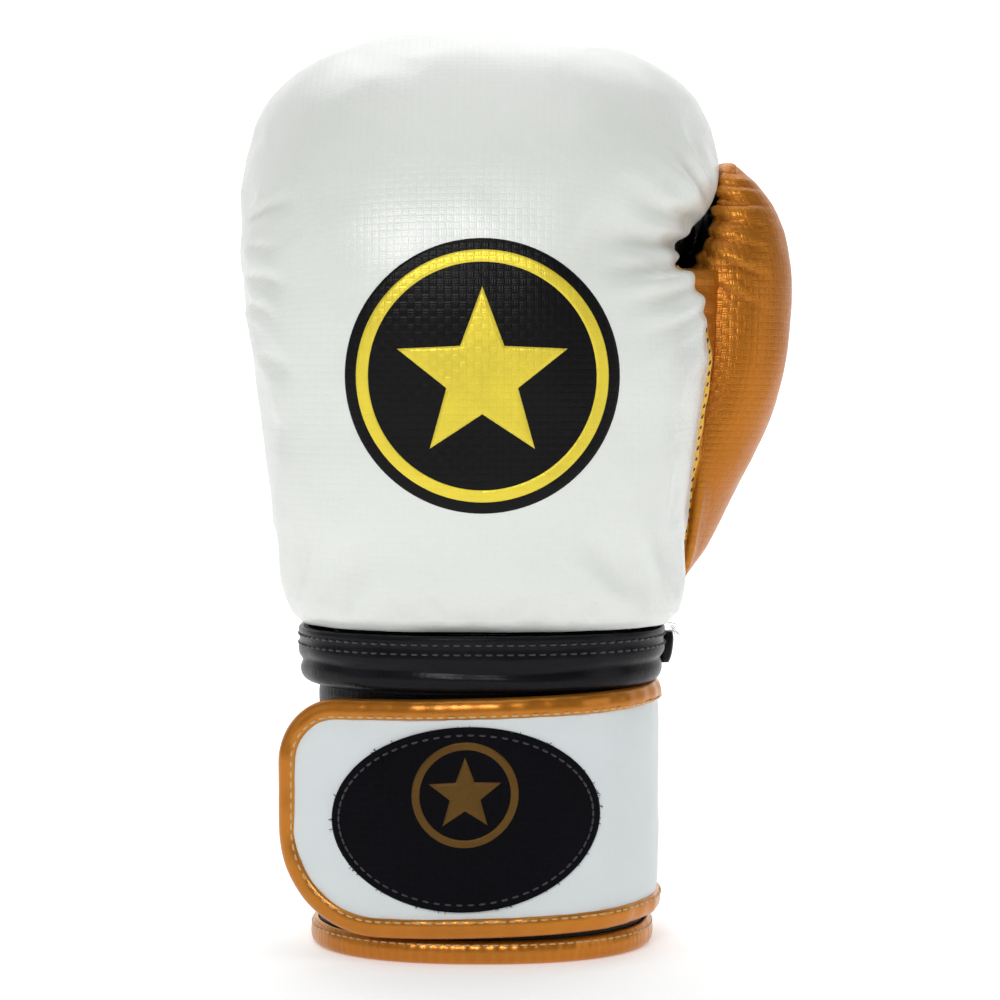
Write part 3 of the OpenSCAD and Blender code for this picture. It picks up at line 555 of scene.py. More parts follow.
def dress_mitt(P, back):
    """Adds the swell, folds and gathers to a panel that runs from seam to seam."""
    n = grid_normals(P)
    x, y, z = P[..., 0], P[..., 1], P[..., 2]
    across = seam_length(P, 1)
    from0, from1 = across, across[:, -1:] - across
    mid = P[:, P.shape[1] // 2]
    along = seam_length(mid[:, None], 0)[:, 0][:, None] + 0 * x
    d = 0.9 * nz(P, 0.022, 3.0) + 0.28 * nz(P, 0.07, 9.0)
    front = smooth01((18 - y) / 30)
    if back:
        # pinch above the thumb, with folds fanning out from it
        d += front * (
            fold(x, z, (75, 243), (55, 263), 3.0, 2.7, -0.25)
            + fold(x, z, (76, 248), (64, 268), 2.2, 1.7, -0.2)
            + fold(x, z, (73, 237), (42, 247), 3.0, 1.7, 0.3)
            + fold(x, z, (71, 230), (38, 232), 3.4, 2.3, 0.25)
            + fold(x, z, (70, 224), (34, 220), 3.2, 2.9, 0.2)
            + fold(x, z, (72, 216), (40, 210), 3.2, 1.7, 0.25)
            + fold(x, z, (73, 208), (52, 199), 2.6, 1.0, 0.2)
            + fold(x, z, (-76, 237), (-56, 241), 2.4, 1.5, 0.2)
            + fold(x, z, (-76, 228), (-60, 227), 2.2, 1.4, -0.2)
            + fold(x, z, (-76, 218), (-58, 213), 2.4, 1.3, 0.2)
            + fold(x, z, (-75, 209), (-62, 203), 2.2, 1.0, 0.2))
        # side gathers where the cover is eased into the seams
        hi = smooth01((z - 196) / 18) * smooth01((272 - z) / 16)
        d += puckers(along, from1, 1.3, 11.0, 9.0, 1.5) * hi * smooth01((-x) / 20)
        hi2 = smooth01((z - 214) / 10)
        d += puckers(along, from0, 4.1, 7.5, 9.0, 1.5) * hi2 * smooth01(x / 20)
        # the finger roll is gathered along its sides
        rollside = smooth01((y - 20) / 20)
        d += puckers(along, np.minimum(from0, from1), 2.2, 9.0, 13.0, 1.3) * rollside
        # long soft swell of the padding under the cover
        d += 0.8 * bump1(z, 200, 34) * bump1(x, -8, 70) * front
    else:
        d += puckers(along, np.minimum(from0, from1), 0.7, 8.0, 8.0, 0.9)
    # lower edge tucks in over the cuff
    d -= 2.4 * (1 - smooth01((z - 104.5) / 7.0)) ** 1.5
    d += 1.1 * bump1(z, 117, 9)
    # seam lines draw the cover in
    d -= 1.7 * np.exp(-(np.minimum(from0, from1) / 2.6) ** 1.5)
    return P + n * d[..., None]


def uv_of(P):
    """Millimetre coordinates over a panel, for its embossed pattern."""
    m = P.shape[1] // 2
    across = seam_length(P, 1)
    across = across - across[:, m:m + 1]
    along = seam_length(P[:, m][:, None], 0)[:, 0][:, None] + 0 * across
    return np.stack([across, along], -1)


def blur(d, times):
    """Evens a grid of moves out, and keeps its edges where they are."""
    for _ in range(times):
        m = d.copy()
        m[1:-1] = (d[:-2] + 2 * d[1:-1] + d[2:]) / 4
        d = m.copy()
        d[:, 1:-1] = (m[:, :-2] + 2 * m[:, 1:-1] + m[:, 2:]) / 4
    return d


def cloth_settle(ob, keep, shape, steps=18, cap=2.2, pressure=1.2, shrink=-0.02):
    """Inflates a sewn cover as cloth, with its seams held, and applies the result."""
    base = np.array([v.co[:] for v in ob.data.vertices])
    g = ob.vertex_groups.new(name="seam")
    for i, w in keep.items():
        g.add([i], w, "REPLACE")
    c = ob.modifiers.new("cloth", "CLOTH")
    st = c.settings
    st.quality = 6
    st.mass = 0.3
    st.tension_stiffness = st.compression_stiffness = 22
    st.shear_stiffness = 12
    st.bending_stiffness = 0.9
    st.use_pressure = True
    st.uniform_pressure_force = pressure
    st.shrink_min = shrink
    st.vertex_group_mass = "seam"
    st.pin_stiffness = 5
    st.effector_weights.gravity = 0
    c.collision_settings.use_collision = False
    c.collision_settings.use_self_collision = False
    c.point_cache.frame_start = 1
    c.point_cache.frame_end = steps + 2
    sc = bpy.context.scene
    for f in range(1, steps + 1):
        sc.frame_set(f)
    dg = bpy.context.evaluated_depsgraph_get()
    ev = ob.evaluated_get(dg).to_mesh()
    new = np.array([v.co[:] for v in ev.vertices])
    ob.modifiers.clear()
    d = new - base
    ln = np.linalg.norm(d, axis=1, keepdims=True)
    ln[ln == 0] = 1
    d = d / ln * np.minimum(ln, cap * MM)
    fine = d.reshape(*shape, 3)
    d = (0.25 * fine + 0.75 * blur(fine, 7)).reshape(-1, 3)
    for v, p in zip(ob.data.vertices, base + d):
        v.co = p
    ob.data.update()
    sc.frame_set(1)


def panel(name, s0, s1, ns, t0, t1, nt_, mat, back, nodes):
    """One sewn cover of the mitt between stations s0, s1 and seams t0, t1; the back one is simulated."""
    s = np.linspace(s0, s1, ns)
    t = np.linspace(t0, t1, nt_)
    P = settle(mitt(s, t))
    uv = uv_of(P)
    P = dress_mitt(P, back)
    ob = add_mesh(name, to_m(P), grid_faces(ns, nt_), mat, "mitt", uvs=uv.reshape(-1, 2))
    if back:
        w = {}
        for i in range(ns):
            for j in range(nt_):
                e = min(j, nt_ - 1 - j, i, ns - 1 - i)
                if e < 3:
                    w[i * nt_ + j] = [1.0, 0.9, 0.5][e]
                else:
                    w[i * nt_ + j] = 0.0
        cloth_settle(ob, w, (ns, nt_))
    subdivide(ob)
    thicken(ob, 1.3)
    apply_mods(ob)
    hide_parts(*nodes)
    return ob, P


white, WP = panel("mitt_back_cover", 0, ROWS, 190, -12, 195, 150, WHITE, True,
                  ("back_shell", "back_foam_outer", "back_foam_inner", "knuckle_foam_outer",
                   "knuckle_foam_inner"))
palm, _ = panel("mitt_palm_cover", 0, 8.6, 60, 195, 348, 70, BLACK, False, ("palm_panel", "palm_foam"))
fing, _ = panel("mitt_finger_cover", 8.6, ROWS, 90, 195, 348, 50, BLACK, False,
                ("finger_panel", "finger_foam"))


def dome_end():
    """Closes the end of the finger roll."""
    t = np.linspace(-12, 348, 121)[:-1]
    ring = settle(mitt([ROWS], t))[0]
    c = ring.mean(0)
    out = ring - settle(mitt([ROWS - 0.6], t))[0]
    axis = out.mean(0)
    axis /= np.linalg.norm(axis)
    rows = []
    for f in (0.0, 0.06, 0.16, 0.3, 0.5, 0.7, 0.88, 0.995):
        rows.append(c + (ring - c) * (1 - f) + axis * 5.0 * math.sin(math.pi / 2 * min(1, f * 1.6)))
    P = np.array(rows)
    ob = add_mesh("mitt_roll_end", to_m(P), grid_faces(len(P), len(t), True), BLACK, "mitt",
                  uvs=(P[..., :2]).reshape(-1, 2))
    return ob


dome_end()


# seam lines of the mitt as fine raised piping
for j, nm in ((0, "thumb_side"), (-1, "little_side")):
    raised = WP[4:, j] + grid_normals(WP)[4:, j] * 0.5
    tube("seam_" + nm, raised, 0.85, BLACK, "mitt", sides=12)


def tree_of(ob):
    me = ob.data
    return BVHTree.FromPolygons([v.co[:] for v in me.vertices], [p.vertices[:] for p in me.polygons])


MITT_TREE = tree_of(white)


def on_tree(tree, x, z, up):
    """The point up mm above the surface that faces the front at x, z."""
    o = Vector(((x + SHIFT[0]) * MM, -200.0 * MM, z * MM))
    hit = tree.ray_cast(o, Vector((0, 1, 0)))
    if hit[0] is None:
        raise ValueError("nothing in front at %r" % ((x, z),))
    n = hit[1]
    if n.y > 0:
        n = -n
    p = hit[0] + n * (up * MM)
    return np.array([p.x, p.y, p.z]) / MM - SHIFT


def conform(name, tree, cx, cz, rings, up, thick, mat, body, closed_centre=True, soft=0.3,
            place=None):
    """A pad that lies on a surface: rings of (x, z) outlines from the centre out."""
    m = len(rings[0])
    put = place or (lambda x, z, h: on_tree(tree, x, z, h))
    V, UV = [], []
    for i, ring in enumerate(rings):
        h = up + thick - (soft if i == len(rings) - 1 else 0)
        for x, z in ring:
            V.append(put(cx + x, cz + z, h))
            UV.append((x, z))
    F = []
    n = len(rings)
    for i in range(n - 1):
        for j in range(m):
            k = (j + 1) % m
            F.append((i * m + j, (i + 1) * m + j, (i + 1) * m + k, i * m + k))
    b = len(V)
    for x, z in rings[-1]:
        V.append(put(cx + x * 1.004, cz + z * 1.004, up - 0.1))
        UV.append((x, z))
    for j in range(m):
        k = (j + 1) % m
        F.append(((n - 1) * m + j, b + j, b + k, (n - 1) * m + k))
    if closed_centre:
        V.append(put(cx, cz, up + thick))
        UV.append((0, 0))
        c = len(V) - 1
        for j in range(m):
            F.append((c, j, (j + 1) % m))
    else:
        b2 = len(V)
        for x, z in rings[0]:
            V.append(put(cx + x * 0.996, cz + z * 0.996, up - 0.1))
            UV.append((x, z))
        for j in range(m):
            k = (j + 1) % m
            F.append((j, k, b2 + k, b2 + j))
    ob = add_mesh(name, to_m(V), F, mat, body, uvs=np.array(UV, float))
    return ob


def circle(r, m):
    return [(r * math.cos(2 * math.pi * j / m), r * math.sin(2 * math.pi * j / m)) for j in range(m)]


def star(r, f, m_edge=8, inner=0.42):
    pts = []
    for k in range(10):
        a0, a1 = math.radians(90 + 36 * k), math.radians(90 + 36 * (k + 1))
        r0, r1 = (r, r * inner) if k % 2 == 0 else (r * inner, r)
        p0 = np.array([r0 * math.cos(a0), r0 * math.sin(a0)])
        p1 = np.array([r1 * math.cos(a1), r1 * math.sin(a1)])
        for i in range(m_edge):
            q = p0 + (p1 - p0) * i / m_edge
            pts.append((q[0] * f, q[1] * f))
    return pts


BX, BZ = 0.5, 187.0
disc_rings = [circle(42.3 * f, 128)
              for f in (0.06, 0.15, 0.25, 0.35, 0.45, 0.55, 0.65, 0.75, 0.85, 0.93, 0.98, 1.0)]
disc = conform("badge_disc_print", MITT_TREE, BX, BZ, disc_rings, 0.1, 0.35, BLACK, "mitt", soft=0.2)
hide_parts("badge_disc")
bring = conform("badge_ring_print", MITT_TREE, BX, BZ, [circle(r, 128) for r in (35.2, 36, 37, 38, 38.8)],
                0.4, 0.25, PRINT, "mitt", closed_centre=False, soft=0.1)
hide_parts("badge_ring")
star_rings = [star(27.5, f) for f in (0.15, 0.3, 0.45, 0.6, 0.75, 0.88, 1.0)]
bstar = conform("badge_star_print", MITT_TREE, BX, BZ, star_rings, 0.4, 0.25, PRINT, "mitt", soft=0.1)
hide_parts("badge_emblem")

# ------------------------------------------------------------------ thumb
TH = np.array([
    (110, 50, 31, 13.5, 9), (118, 51.5, 30, 16.5, 18), (128, 54.6, 30, 20, 24), (139, 58.4, 30, 21.8, 26),
    (150, 63.4, 30, 22.5, 27), (162, 70.0, 29.5, 22.0, 27), (175, 75.8, 29, 21.4, 26.5),
    (188, 79.8, 29, 21.0, 26), (203, 82.2, 29.5, 20.6, 25), (218, 83.6, 30, 19.8, 24),
    (231, 84.0, 30.5, 17.8, 21.5), (241, 85.4, 31, 13.2, 17), (249, 84.5, 31, 8.6, 12),
    (254, 83, 31, 5.2, 7.4), (256.5, 82.6, 31, 2.6, 3.6), (257.4, 82.6, 31, 0.15, 0.2)], float)
LOW = np.array(LOWER + [(CREASE[1], -20, 42, 75.4, 73.4)], float)
RL = np.array(ROLL, float)


def side_x(y, z):
    """Half width of the mitt on the thumb side at depth y and height z."""
    y, z = np.broadcast_arrays(np.asarray(y, float), np.asarray(z, float))
    yc, h, ar = [np.interp(z, LOW[:, 0], LOW[:, k]) for k in (1, 2, 4)]
    v = np.minimum(1, np.abs((yc - y) / h))
    lowx = ar * (1 - v ** N) ** (1 / N)
    a = np.degrees(np.arctan2(z - CREASE[1], CREASE[0] - y))
    p = np.hypot(CREASE[0] - y, z - CREASE[1])
    hi = np.interp(a, RL[:, 0], RL[:, 1])
    hh = (hi - 3) / 2
    v2 = np.minimum(1, np.abs((p - 3 - hh) / hh))
    upx = np.interp(a, RL[:, 0], RL[:, 3]) * (1 - v2 ** N) ** (1 / N)
    return np.where(z <= CREASE[1], lowx, upx)


NZ, NT = 150, 132
zk = np.concatenate([np.linspace(0, 10.2, 104), np.linspace(10.2, 15, NZ - 103)[1:]])
tk = np.linspace(-100, 260, NT + 1)[:-1]
q = cubic(TH, zk)
ct, st_ = np.cos(np.radians(tk)), np.sin(np.radians(tk))
uu, vv = spow(ct, 0.9)[None], spow(st_, 0.9)[None]
TX = q[:, 1:2] + q[:, 3:4] * uu
TY = q[:, 2:3] - q[:, 4:5] * vv
TZ = q[:, 0:1] + 0 * TX
lim = side_x(TY, TZ) + 0.9 + 2 * (1 + uu)
# the cover meets the mitt softly instead of being cut off
k_ = 3.0
TX = np.where(TX > lim + k_, TX, lim + k_ * np.log1p(np.exp((TX - lim) / k_ * 1.6)) / 1.6)
TP = np.stack([TX, TY, TZ], -1)
tn = grid_normals(np.concatenate([TP[:, -2:], TP, TP[:, :2]], 1))[:, 2:-2]
cen = np.stack([q[:, 1], q[:, 2], q[:, 0]], -1)[:, None]
tn *= np.sign(((TP - cen) * tn).sum(-1, keepdims=True))
x, y, z = TP[..., 0], TP[..., 1], TP[..., 2]
# distance round the thumb, and from the front seam next to the mitt (theta 140)
mm_t = np.radians(tk)[None] * (q[:, 3:4] + q[:, 4:5]) / 2
seam_f = (np.radians(140) * (q[:, 3:4] + q[:, 4:5]) / 2 - mm_t)
front = smooth01((34 - y) / 20)
d = 0.55 * nz(TP, 0.03, 21.0) + 0.2 * nz(TP, 0.11, 4.0)
up = smooth01((z - 216) / 12)
# gathers that run across from the seam, tight near it and fading over the front
wav = np.sin((z + 2.2 * np.sin(z / 3.9 + 0.4) + 0.10 * (x - 80)) / 4.6 * 2 * np.pi)
wav2 = np.sin((z + 1.5 * np.sin(z / 2.7)) / 7.3 * 2 * np.pi + 1.0)
near = np.exp(-np.clip(seam_f, 0, None) / 13.0)
d += up * near * front * (0.95 * wav + 0.8 * wav2) * smooth01((256 - z) / 6)
# a few longer creases
for za, zb, dep in ((246, 243, 1.0), (239, 235.5, 1.25), (232.5, 228, 1.0), (226, 219, 1.1), (217, 208, 0.7)):
    line = za + (zb - za) * np.clip((x - 76) / 18, 0, 1)
    e = smooth01((x - 73) / 4) * smooth01((99 - x) / 14) * front
    d += dep * e * (-np.exp(-((z - line) / 1.1) ** 2) + 0.6 * np.exp(-((z - line - 2.4) / 1.5) ** 2))
# the welt beside the seam stands up
d += 1.3 * front * np.exp(-((seam_f - 3.2) / 1.9) ** 2) * smooth01((z - 206) / 14)
d -= 1.5 * front * np.exp(-(seam_f / 1.6) ** 2) * smooth01((z - 206) / 14)
# drawn in along the lower seam
d -= 0.8 * bump1(z, 112, 5)
TP = TP + tn * d[..., None]
ring_uv = seam_length(np.concatenate([TP, TP[:, :1]], 1), 1)[:, :-1]
along_t = seam_length(TP[:, 36][:, None], 0)[:, 0][:, None] + 0 * ring_uv
TUV = np.stack([ring_uv - ring_uv[:, 40:41], along_t], -1)
black_cell = lambda i, j: 139.5 <= tk[j] < 260 and 117 < TZ[i, 0] < 246


def thumb_part(name, want, mat, nodes):
    f = []
    for i in range(len(zk) - 1):
        for j in range(NT):
            if bool(black_cell(i, j)) == want:
                k = (j + 1) % NT
                f.append((i * NT + j, i * NT + k, (i + 1) * NT + k, (i + 1) * NT + j))
    used = sorted({v for g in f for v in g})
    idx = {v: n for n, v in enumerate(used)}
    P, U = TP.reshape(-1, 3)[used], TUV.reshape(-1, 2)[used]
    ob = add_mesh(name, to_m(P), [tuple(idx[v] for v in g) for g in f], mat, "mitt", uvs=U)
    thicken(ob, 1.2)
    apply_mods(ob)
    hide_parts(*nodes)
    return ob


thumb = thumb_part("thumb_gold_cover", False, GOLD, ("thumb_outer_panel", "thumb_foam"))
thumb_part("thumb_black_cover", True, BLACK, ("thumb_inner_panel",))

# seam between white and gold: bright turned edge, then a row of short black stitches
top_row = int(np.argmax(WP[:, 0, 2] > 224))
EDGE_LINE = WP[:top_row, 0]


def seam_at(z):
    """The white cover's edge on the thumb side at the heights z."""
    across, deep = [np.interp(z, EDGE_LINE[:, 2], EDGE_LINE[:, k]) for k in (0, 1)]
    return np.stack([across, deep, np.asarray(z, float)], -1)


zs = np.linspace(111, 222, 120)
pipe = seam_at(zs) + np.array([2.1, -0.3, 0.0])
pipe[:, 0] += 0.15 * np.sin(zs / 1.9)
pp = tube("thumb_edge_piping", pipe, 1.5, EDGE, "mitt", sides=12)
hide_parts("thumb_seam_piping")


def close_seam():
    """Carries the gold cover from the thumb's round on to the white edge, as one panel with it."""
    jb = int(np.argmin(np.abs(tk - 104)))
    rows = np.linspace(111, 221, 100)
    edge = seam_at(rows) + np.array([1.4, 0.2, 0.0])
    far = np.stack([np.interp(rows, TZ[:, jb], TP[:, jb, k]) for k in range(3)], -1)
    f = np.linspace(0, 1, 9)[None, :, None]
    G = edge[:, None] * (1 - f) + far[:, None] * f
    G[..., 0] += 1.3 * np.sin(np.pi * f[..., 0]) + 0.25 * np.sin(rows * 1.3)[:, None] * (1 - f[..., 0])
    uv = np.stack([G[..., 1], G[..., 2]], -1)
    strip = sheet_mesh("thumb_seam_strip", G, GOLD, None, thick=1.0, uv=uv)
    bm = bmesh.new()
    bm.from_mesh(thumb.data)
    bm.from_mesh(strip.data)
    bm.to_mesh(thumb.data)
    bm.free()
    bpy.data.objects.remove(strip)
    thumb.data.polygons.foreach_set("use_smooth", [True] * len(thumb.data.polygons))


close_seam()
fr = []
for z0 in np.arange(114, 220, 3.5):
    fr.append((seam_at(z0) + np.array([2.75, -1.5, 0]), (0.25, 0, 1), (0.55, -0.83, 0)))
ss = stitches("thumb_edge_stitches", fr, DARK, "mitt", (2.2, 0.75, 0.7))
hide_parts("thumb_seam_stitches")

# welt over the fork between thumb and fingers
jf = int(np.argmin(np.abs(tk - 138)))
rows_f = [i for i in range(len(zk)) if 205 < TZ[i, 0] < 250]
fork = np.array([TP[i, jf] + tn[i, jf] * (0.2 + 0.15 * math.sin(i * 1.7)) for i in rows_f])
fw = tube("thumb_fork_welt", fork, 1.15, GOLD, "mitt", sides=12)

# ------------------------------------------------------------------ cuff
OVAL_A, OVAL_B, OVAL_N = 53.6, 42.5, 2.3    # half width, half depth and power of the wrist's oval
FLARE_Z = (0, 87, 104.8)                    # the cuff widens between the last two heights


def cuff_pt(t, up, z):
    """Point of the cuff at angle t, up mm outside its surface, at height z."""
    t, up, z = np.broadcast_arrays(np.asarray(t, float), np.asarray(up, float), np.asarray(z, float))
    r = np.radians(t)
    a = np.interp(z, FLARE_Z, (OVAL_A, OVAL_A, 57)) + up
    b = np.interp(z, FLARE_Z, (OVAL_B, OVAL_B, 43.5)) + up
    yc = np.interp(z, FLARE_Z, (0, 0, -2.5))
    u, v = spow(np.cos(r), 2 / OVAL_N), spow(np.sin(r), 2 / OVAL_N)
    return np.stack([a * u, -b * v + yc, z + 0 * a], -1)


def even_ring(n, t0, t1):
    """Angles spaced evenly along the oval."""
    t = np.linspace(t0, t1, 2000)
    L = run_length(cuff_pt(t, 0, 0))
    return np.interp(np.linspace(0, L[-1], n), L, t)


def outwards(t):
    """Rough direction away from the cuff's middle at the angles t."""
    return np.stack([np.cos(np.radians(t)), -np.sin(np.radians(t)), 0 * t], -1)


def cuff_cover():
    """The cuff's black cover, with its turned-in slit edges."""
    tt = even_ring(220, 279.0, 621.0)
    side = [(-7.3, 279.0), (-6.6, 278.4), (-5, 278.0), (-3, 278.0), (-1.4, 278.2), (-0.4, 278.6)]
    T = np.array([s[1] for s in side] + list(tt) + [900 - s[1] for s in side[::-1]])
    U = np.array([s[0] for s in side] + [0.0] * len(tt) + [s[0] for s in side[::-1]])
    Z = np.concatenate([np.linspace(3.2, 86, 56), [87.2, 88.4]])
    P = cuff_pt(T[None], U[None] + 0 * Z[:, None], Z[:, None])
    nn = grid_normals(P)
    w = nz(P, 0.05, 2.0) * 0.5 + 0.35 * np.sin(Z[:, None] / 3.1 + 1.5 * nz(P, 0.02, 7.0)) * smooth01(
        (np.abs(Z[:, None] - 46) - 24) / 14)
    P = P + nn * np.where(np.arange(len(T))[None, :, None] > 5, np.clip(w, -0.6, 0.3)[..., None], 0)
    cw = sheet_mesh("cuff_black_cover", P, BLACK, "mitt", uv=uv_of(P), flip=True)
    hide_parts("cuff_shell")


cuff_cover()


def band_cover():
    """The folded band and its two rows of thread."""
    # band: top edge turned in, one soft fold line part way down
    tb = np.linspace(0, 360, 241)[:-1]
    prof = [(0.2, 86.9), (2.2, 86.7), (4.0, 87.1), (5.0, 88.2), (5.4, 90), (5.0, 92.2), (3.9, 93.6),
            (3.7, 94.3), (4.4, 95.3), (4.7, 97), (4.2, 99), (3.3, 101), (3.45, 102.6), (3.4, 104.2),
            (2.7, 105.2), (1.3, 105.3),
            (0.3, 104.7)]
    P = np.array([cuff_pt(tb, u, zz) for u, zz in prof])
    wob = 0.5 * np.sin(np.radians(tb * 3 + 20)) + 0.5 * np.sin(np.radians(tb * 7 + 80)) * 0.5
    mid = np.array([bump1(zz, 94, 3.0) for u, zz in prof])
    P[..., 2] += (mid[:, None] * wob[None] * 1.2)
    dents = 0.7 * nz(P, 0.045, 31.0)
    dents[[0, -1]] = 0
    P = P + outwards(tb)[None] * dents[..., None]
    band = sheet_mesh("cuff_band_cover", P, BLACKB, "mitt", wrap=True, uv=uv_of(P), flip=True, soft=True)
    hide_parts("cuff_band")
    fr = []
    for zz, u0 in ((99.4, 4.35), (102.4, 3.75)):
        te = even_ring(104, 0, 360)
        for t0 in te[:-1]:
            p, q2 = cuff_pt(t0, u0, zz), cuff_pt(t0 + 1, u0, zz)
            o = cuff_pt(t0, u0 + 1, zz) - p
            fr.append((p + o * 0.05, q2 - p, o))
    bs_ = stitches("cuff_band_thread", fr, DARK, "mitt", (2.1, 0.55, 0.6))
    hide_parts("cuff_band_stitches")


band_cover()


def band_fold():
    """The small tab over the band."""
    # folded tab at the thumb side of the band
    V, F = [], []
    for i, zz in enumerate(np.linspace(91.5, 101.8, 14)):
        for j, a in enumerate(np.linspace(0, 2 * np.pi, 25)[:-1]):
            e = 1 - 0.35 * abs((zz - 96.6) / 5.4) ** 3
            V.append((60.9 + 0.6 * (zz - 96) / 5 + 2.5 * e * spow(np.array(math.cos(a)), 0.6),
                      6 + 4.9 * e * spow(np.array(math.sin(a)), 0.6), zz))
    for i in range(13):
        for j in range(24):
            k = (j + 1) % 24
            F.append((i * 24 + j, i * 24 + k, (i + 1) * 24 + k, (i + 1) * 24 + j))
    F += [tuple(range(23, -1, -1)), tuple(13 * 24 + j for j in range(24))]
    flat = np.array([(v[1], v[2]) for v in V], float)
    tab = add_mesh("band_tab_fold", to_m(V), F, BLACKB, "mitt", uvs=flat)
    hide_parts("band_tab")


band_fold()


def band_ends():
    """Loose ends of thread where the band is closed."""
    # loose thread ends at the corner of the band
    rng = np.random.default_rng(5)
    for k in range(5):
        b = np.array([61.5 + rng.uniform(-1, 1.5), -4 + rng.uniform(-6, 6), 104.2 + rng.uniform(-0.6, 0.8)])
        dirn = np.array([rng.uniform(0.1, 1.0), rng.uniform(-1, 0), rng.uniform(-0.6, 0.9)])
        pts = [b + dirn * s * 3.2 + np.array([0, 0, -0.8 * s * s]) for s in np.linspace(0, 1, 8)]
        tf = tube("band_thread_end_%d" % k, pts, 0.14, WHITETH, "mitt", sides=5)


band_ends()


def rim_binding():
    """The bound rim and its thread."""
    # bound rim: rounded gold leather turned over the lower edge
    bp = [(0.1, 8.0), (0.9, 8.3), (1.8, 7.8), (2.5, 6.6), (2.9, 4.8), (2.9, 3.0), (2.6, 1.4),
          (1.7, 0.35), (0.2, 0.0), (-3, 0.0), (-7, 0.0), (-9.6, 0.3), (-10.6, 1.6),
          (-10.9, 3.4), (-10.6, 5.6), (-9.8, 6.6), (-9.0, 6.2),
          (-8.75, 4.5), (-8.7, 3.3), (-4, 3.2), (0.05, 3.2), (0.1, 5.6)]
    tr = even_ring(260, 280.5, 619.5)
    P = np.array([cuff_pt(tr, u, zz) for u, zz in bp])
    wv = 0.22 * np.sin(tr * 1.9) + 0.3 * nz(P[3:4], 0.2, 5.0)[0]
    for k, (u, zz) in enumerate(bp):
        if 0 < k < 8 and zz > 1:
            P[k] += outwards(tr) * (wv * 0.8)[:, None]
            P[k, :, 2] += 0.5 * np.sin(np.radians(tr * 2.2)) * (zz > 5)
    rim = loft("cuff_rim_binding", P.transpose(1, 0, 2), TRIM, "mitt", (1.1, 1.3))
    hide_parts("cuff_binding")
    fr = []
    te = even_ring(98, 283, 617)
    for t0 in te:
        p, q2 = cuff_pt(t0, 2.62, 6.6), cuff_pt(t0 + 1, 2.62, 6.6)
        fr.append((p, q2 - p, cuff_pt(t0, 3.62, 7.0) - p))
    rs = stitches("cuff_rim_thread", fr, CREAM, "mitt", (2.3, 0.62, 0.6))
    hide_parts("cuff_binding_stitches")


rim_binding()


def cuff_cloth():
    """The cuff's lining."""
    # cloth inside the cuff
    tl = even_ring(150, 280, 620)
    Z = np.linspace(3.6, 104.6, 60)
    P = cuff_pt(tl[None], -8.0 + 0 * Z[:, None], Z[:, None])
    nn = grid_normals(P)
    P = P + nn * (0.35 * nz(P, 0.06, 12.0) + 0.2 * np.sin(Z[:, None] / 4.0 + 3 * nz(P, 0.02, 1.0)))[..., None]
    cl = sheet_mesh("cuff_lining_cloth", P, LINING, "mitt", thick=0.6, uv=uv_of(P))
    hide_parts("cuff_lining", "cuff_foam")


cuff_cloth()


# ------------------------------------------------------------------ strap
LEAVE = 118.0               # angle where the strap leaves the cuff and runs straight
TAIL = 37.0                 # length of its straight end
HALF = 37.5                 # half its height
LO_R, HI_R = 34.0, 20.0     # radii of its lower and upper free corner


def oval_out(p):
    r = np.radians(p)
    u, v = spow(np.cos(r), 2 / OVAL_N), spow(np.sin(r), 2 / OVAL_N)
    n = np.stack([spow(u, 1.3) / OVAL_A, -spow(v, 1.3) / OVAL_B], -1)
    return n / np.linalg.norm(n, axis=-1, keepdims=True)


def strap_line(qv):
    qv = np.asarray(qv, float)
    p = np.minimum(qv, LEAVE)
    lift = 0.5 + 2.3 * smooth01((p - 26) / 30)
    r = np.radians(p)
    u, v = spow(np.cos(r), 2 / OVAL_N), spow(np.sin(r), 2 / OVAL_N)
    xy = np.stack([(OVAL_A + lift) * u, -(OVAL_B + lift) * v], -1)
    n1 = oval_out(np.array(LEAVE))
    s = np.maximum(qv - LEAVE, 0)[..., None]
    return xy + s * np.array([n1[1], -n1[0]])


def strap_pt(qv, zr, up):
    qv, zr, up = np.broadcast_arrays(np.asarray(qv, float), np.asarray(zr, float), np.asarray(up, float))
    xy = strap_line(qv)
    n = oval_out(np.minimum(qv, LEAVE))
    x, y = xy[..., 0] + up * n[..., 0], xy[..., 1] + up * n[..., 1]
    return np.stack([x, y, 47.5 + 0.03 * xy[..., 0] + zr], -1)


def q_of_len(n, q0, q1):
    """n places along the strap, spaced evenly by length."""
    q_ = np.linspace(q0, q1, 3000)
    L = run_length(strap_pt(q_, 0, 3))
    return np.interp(np.linspace(0, L[-1], n), L, q_)


QS = -66.0
qrun = q_of_len(150, QS, LEAVE + TAIL - LO_R)
s_arc = LEAVE + TAIL - LO_R


def edge_path(w):
    """Outline of the strap set in by w: (q, height) from the sewn end along the lower edge and back."""
    lo = [(q_, -HALF + w) for q_ in qrun]
    a = np.radians(np.linspace(0, 90, 26)[1:])
    arc1 = [(s_arc + (LO_R - w) * math.sin(v), -HALF + LO_R - (LO_R - w) * math.cos(v)) for v in a]
    zt = HALF - HI_R
    st2 = [(LEAVE + TAIL - w, -HALF + LO_R + (zt + HALF - LO_R) * f) for f in np.linspace(0, 1, 10)[1:]]
    sc2 = LEAVE + TAIL - HI_R
    a = np.radians(np.linspace(90, 0, 18)[1:])
    arc2 = [(sc2 + (HI_R - w) * math.sin(v), zt + (HI_R - w) * math.cos(v)) for v in a]
    qb = q_of_len(160, QS, sc2)
    hi = [(q_, HALF - w) for q_ in qb[::-1][1:]]
    return np.array(lo + arc1 + st2 + arc2 + hi)


JOIN = (to_m([[57.0, -5.0, 47.5]])[0], to_m([[46.0, -33.0, 47.5]])[0])


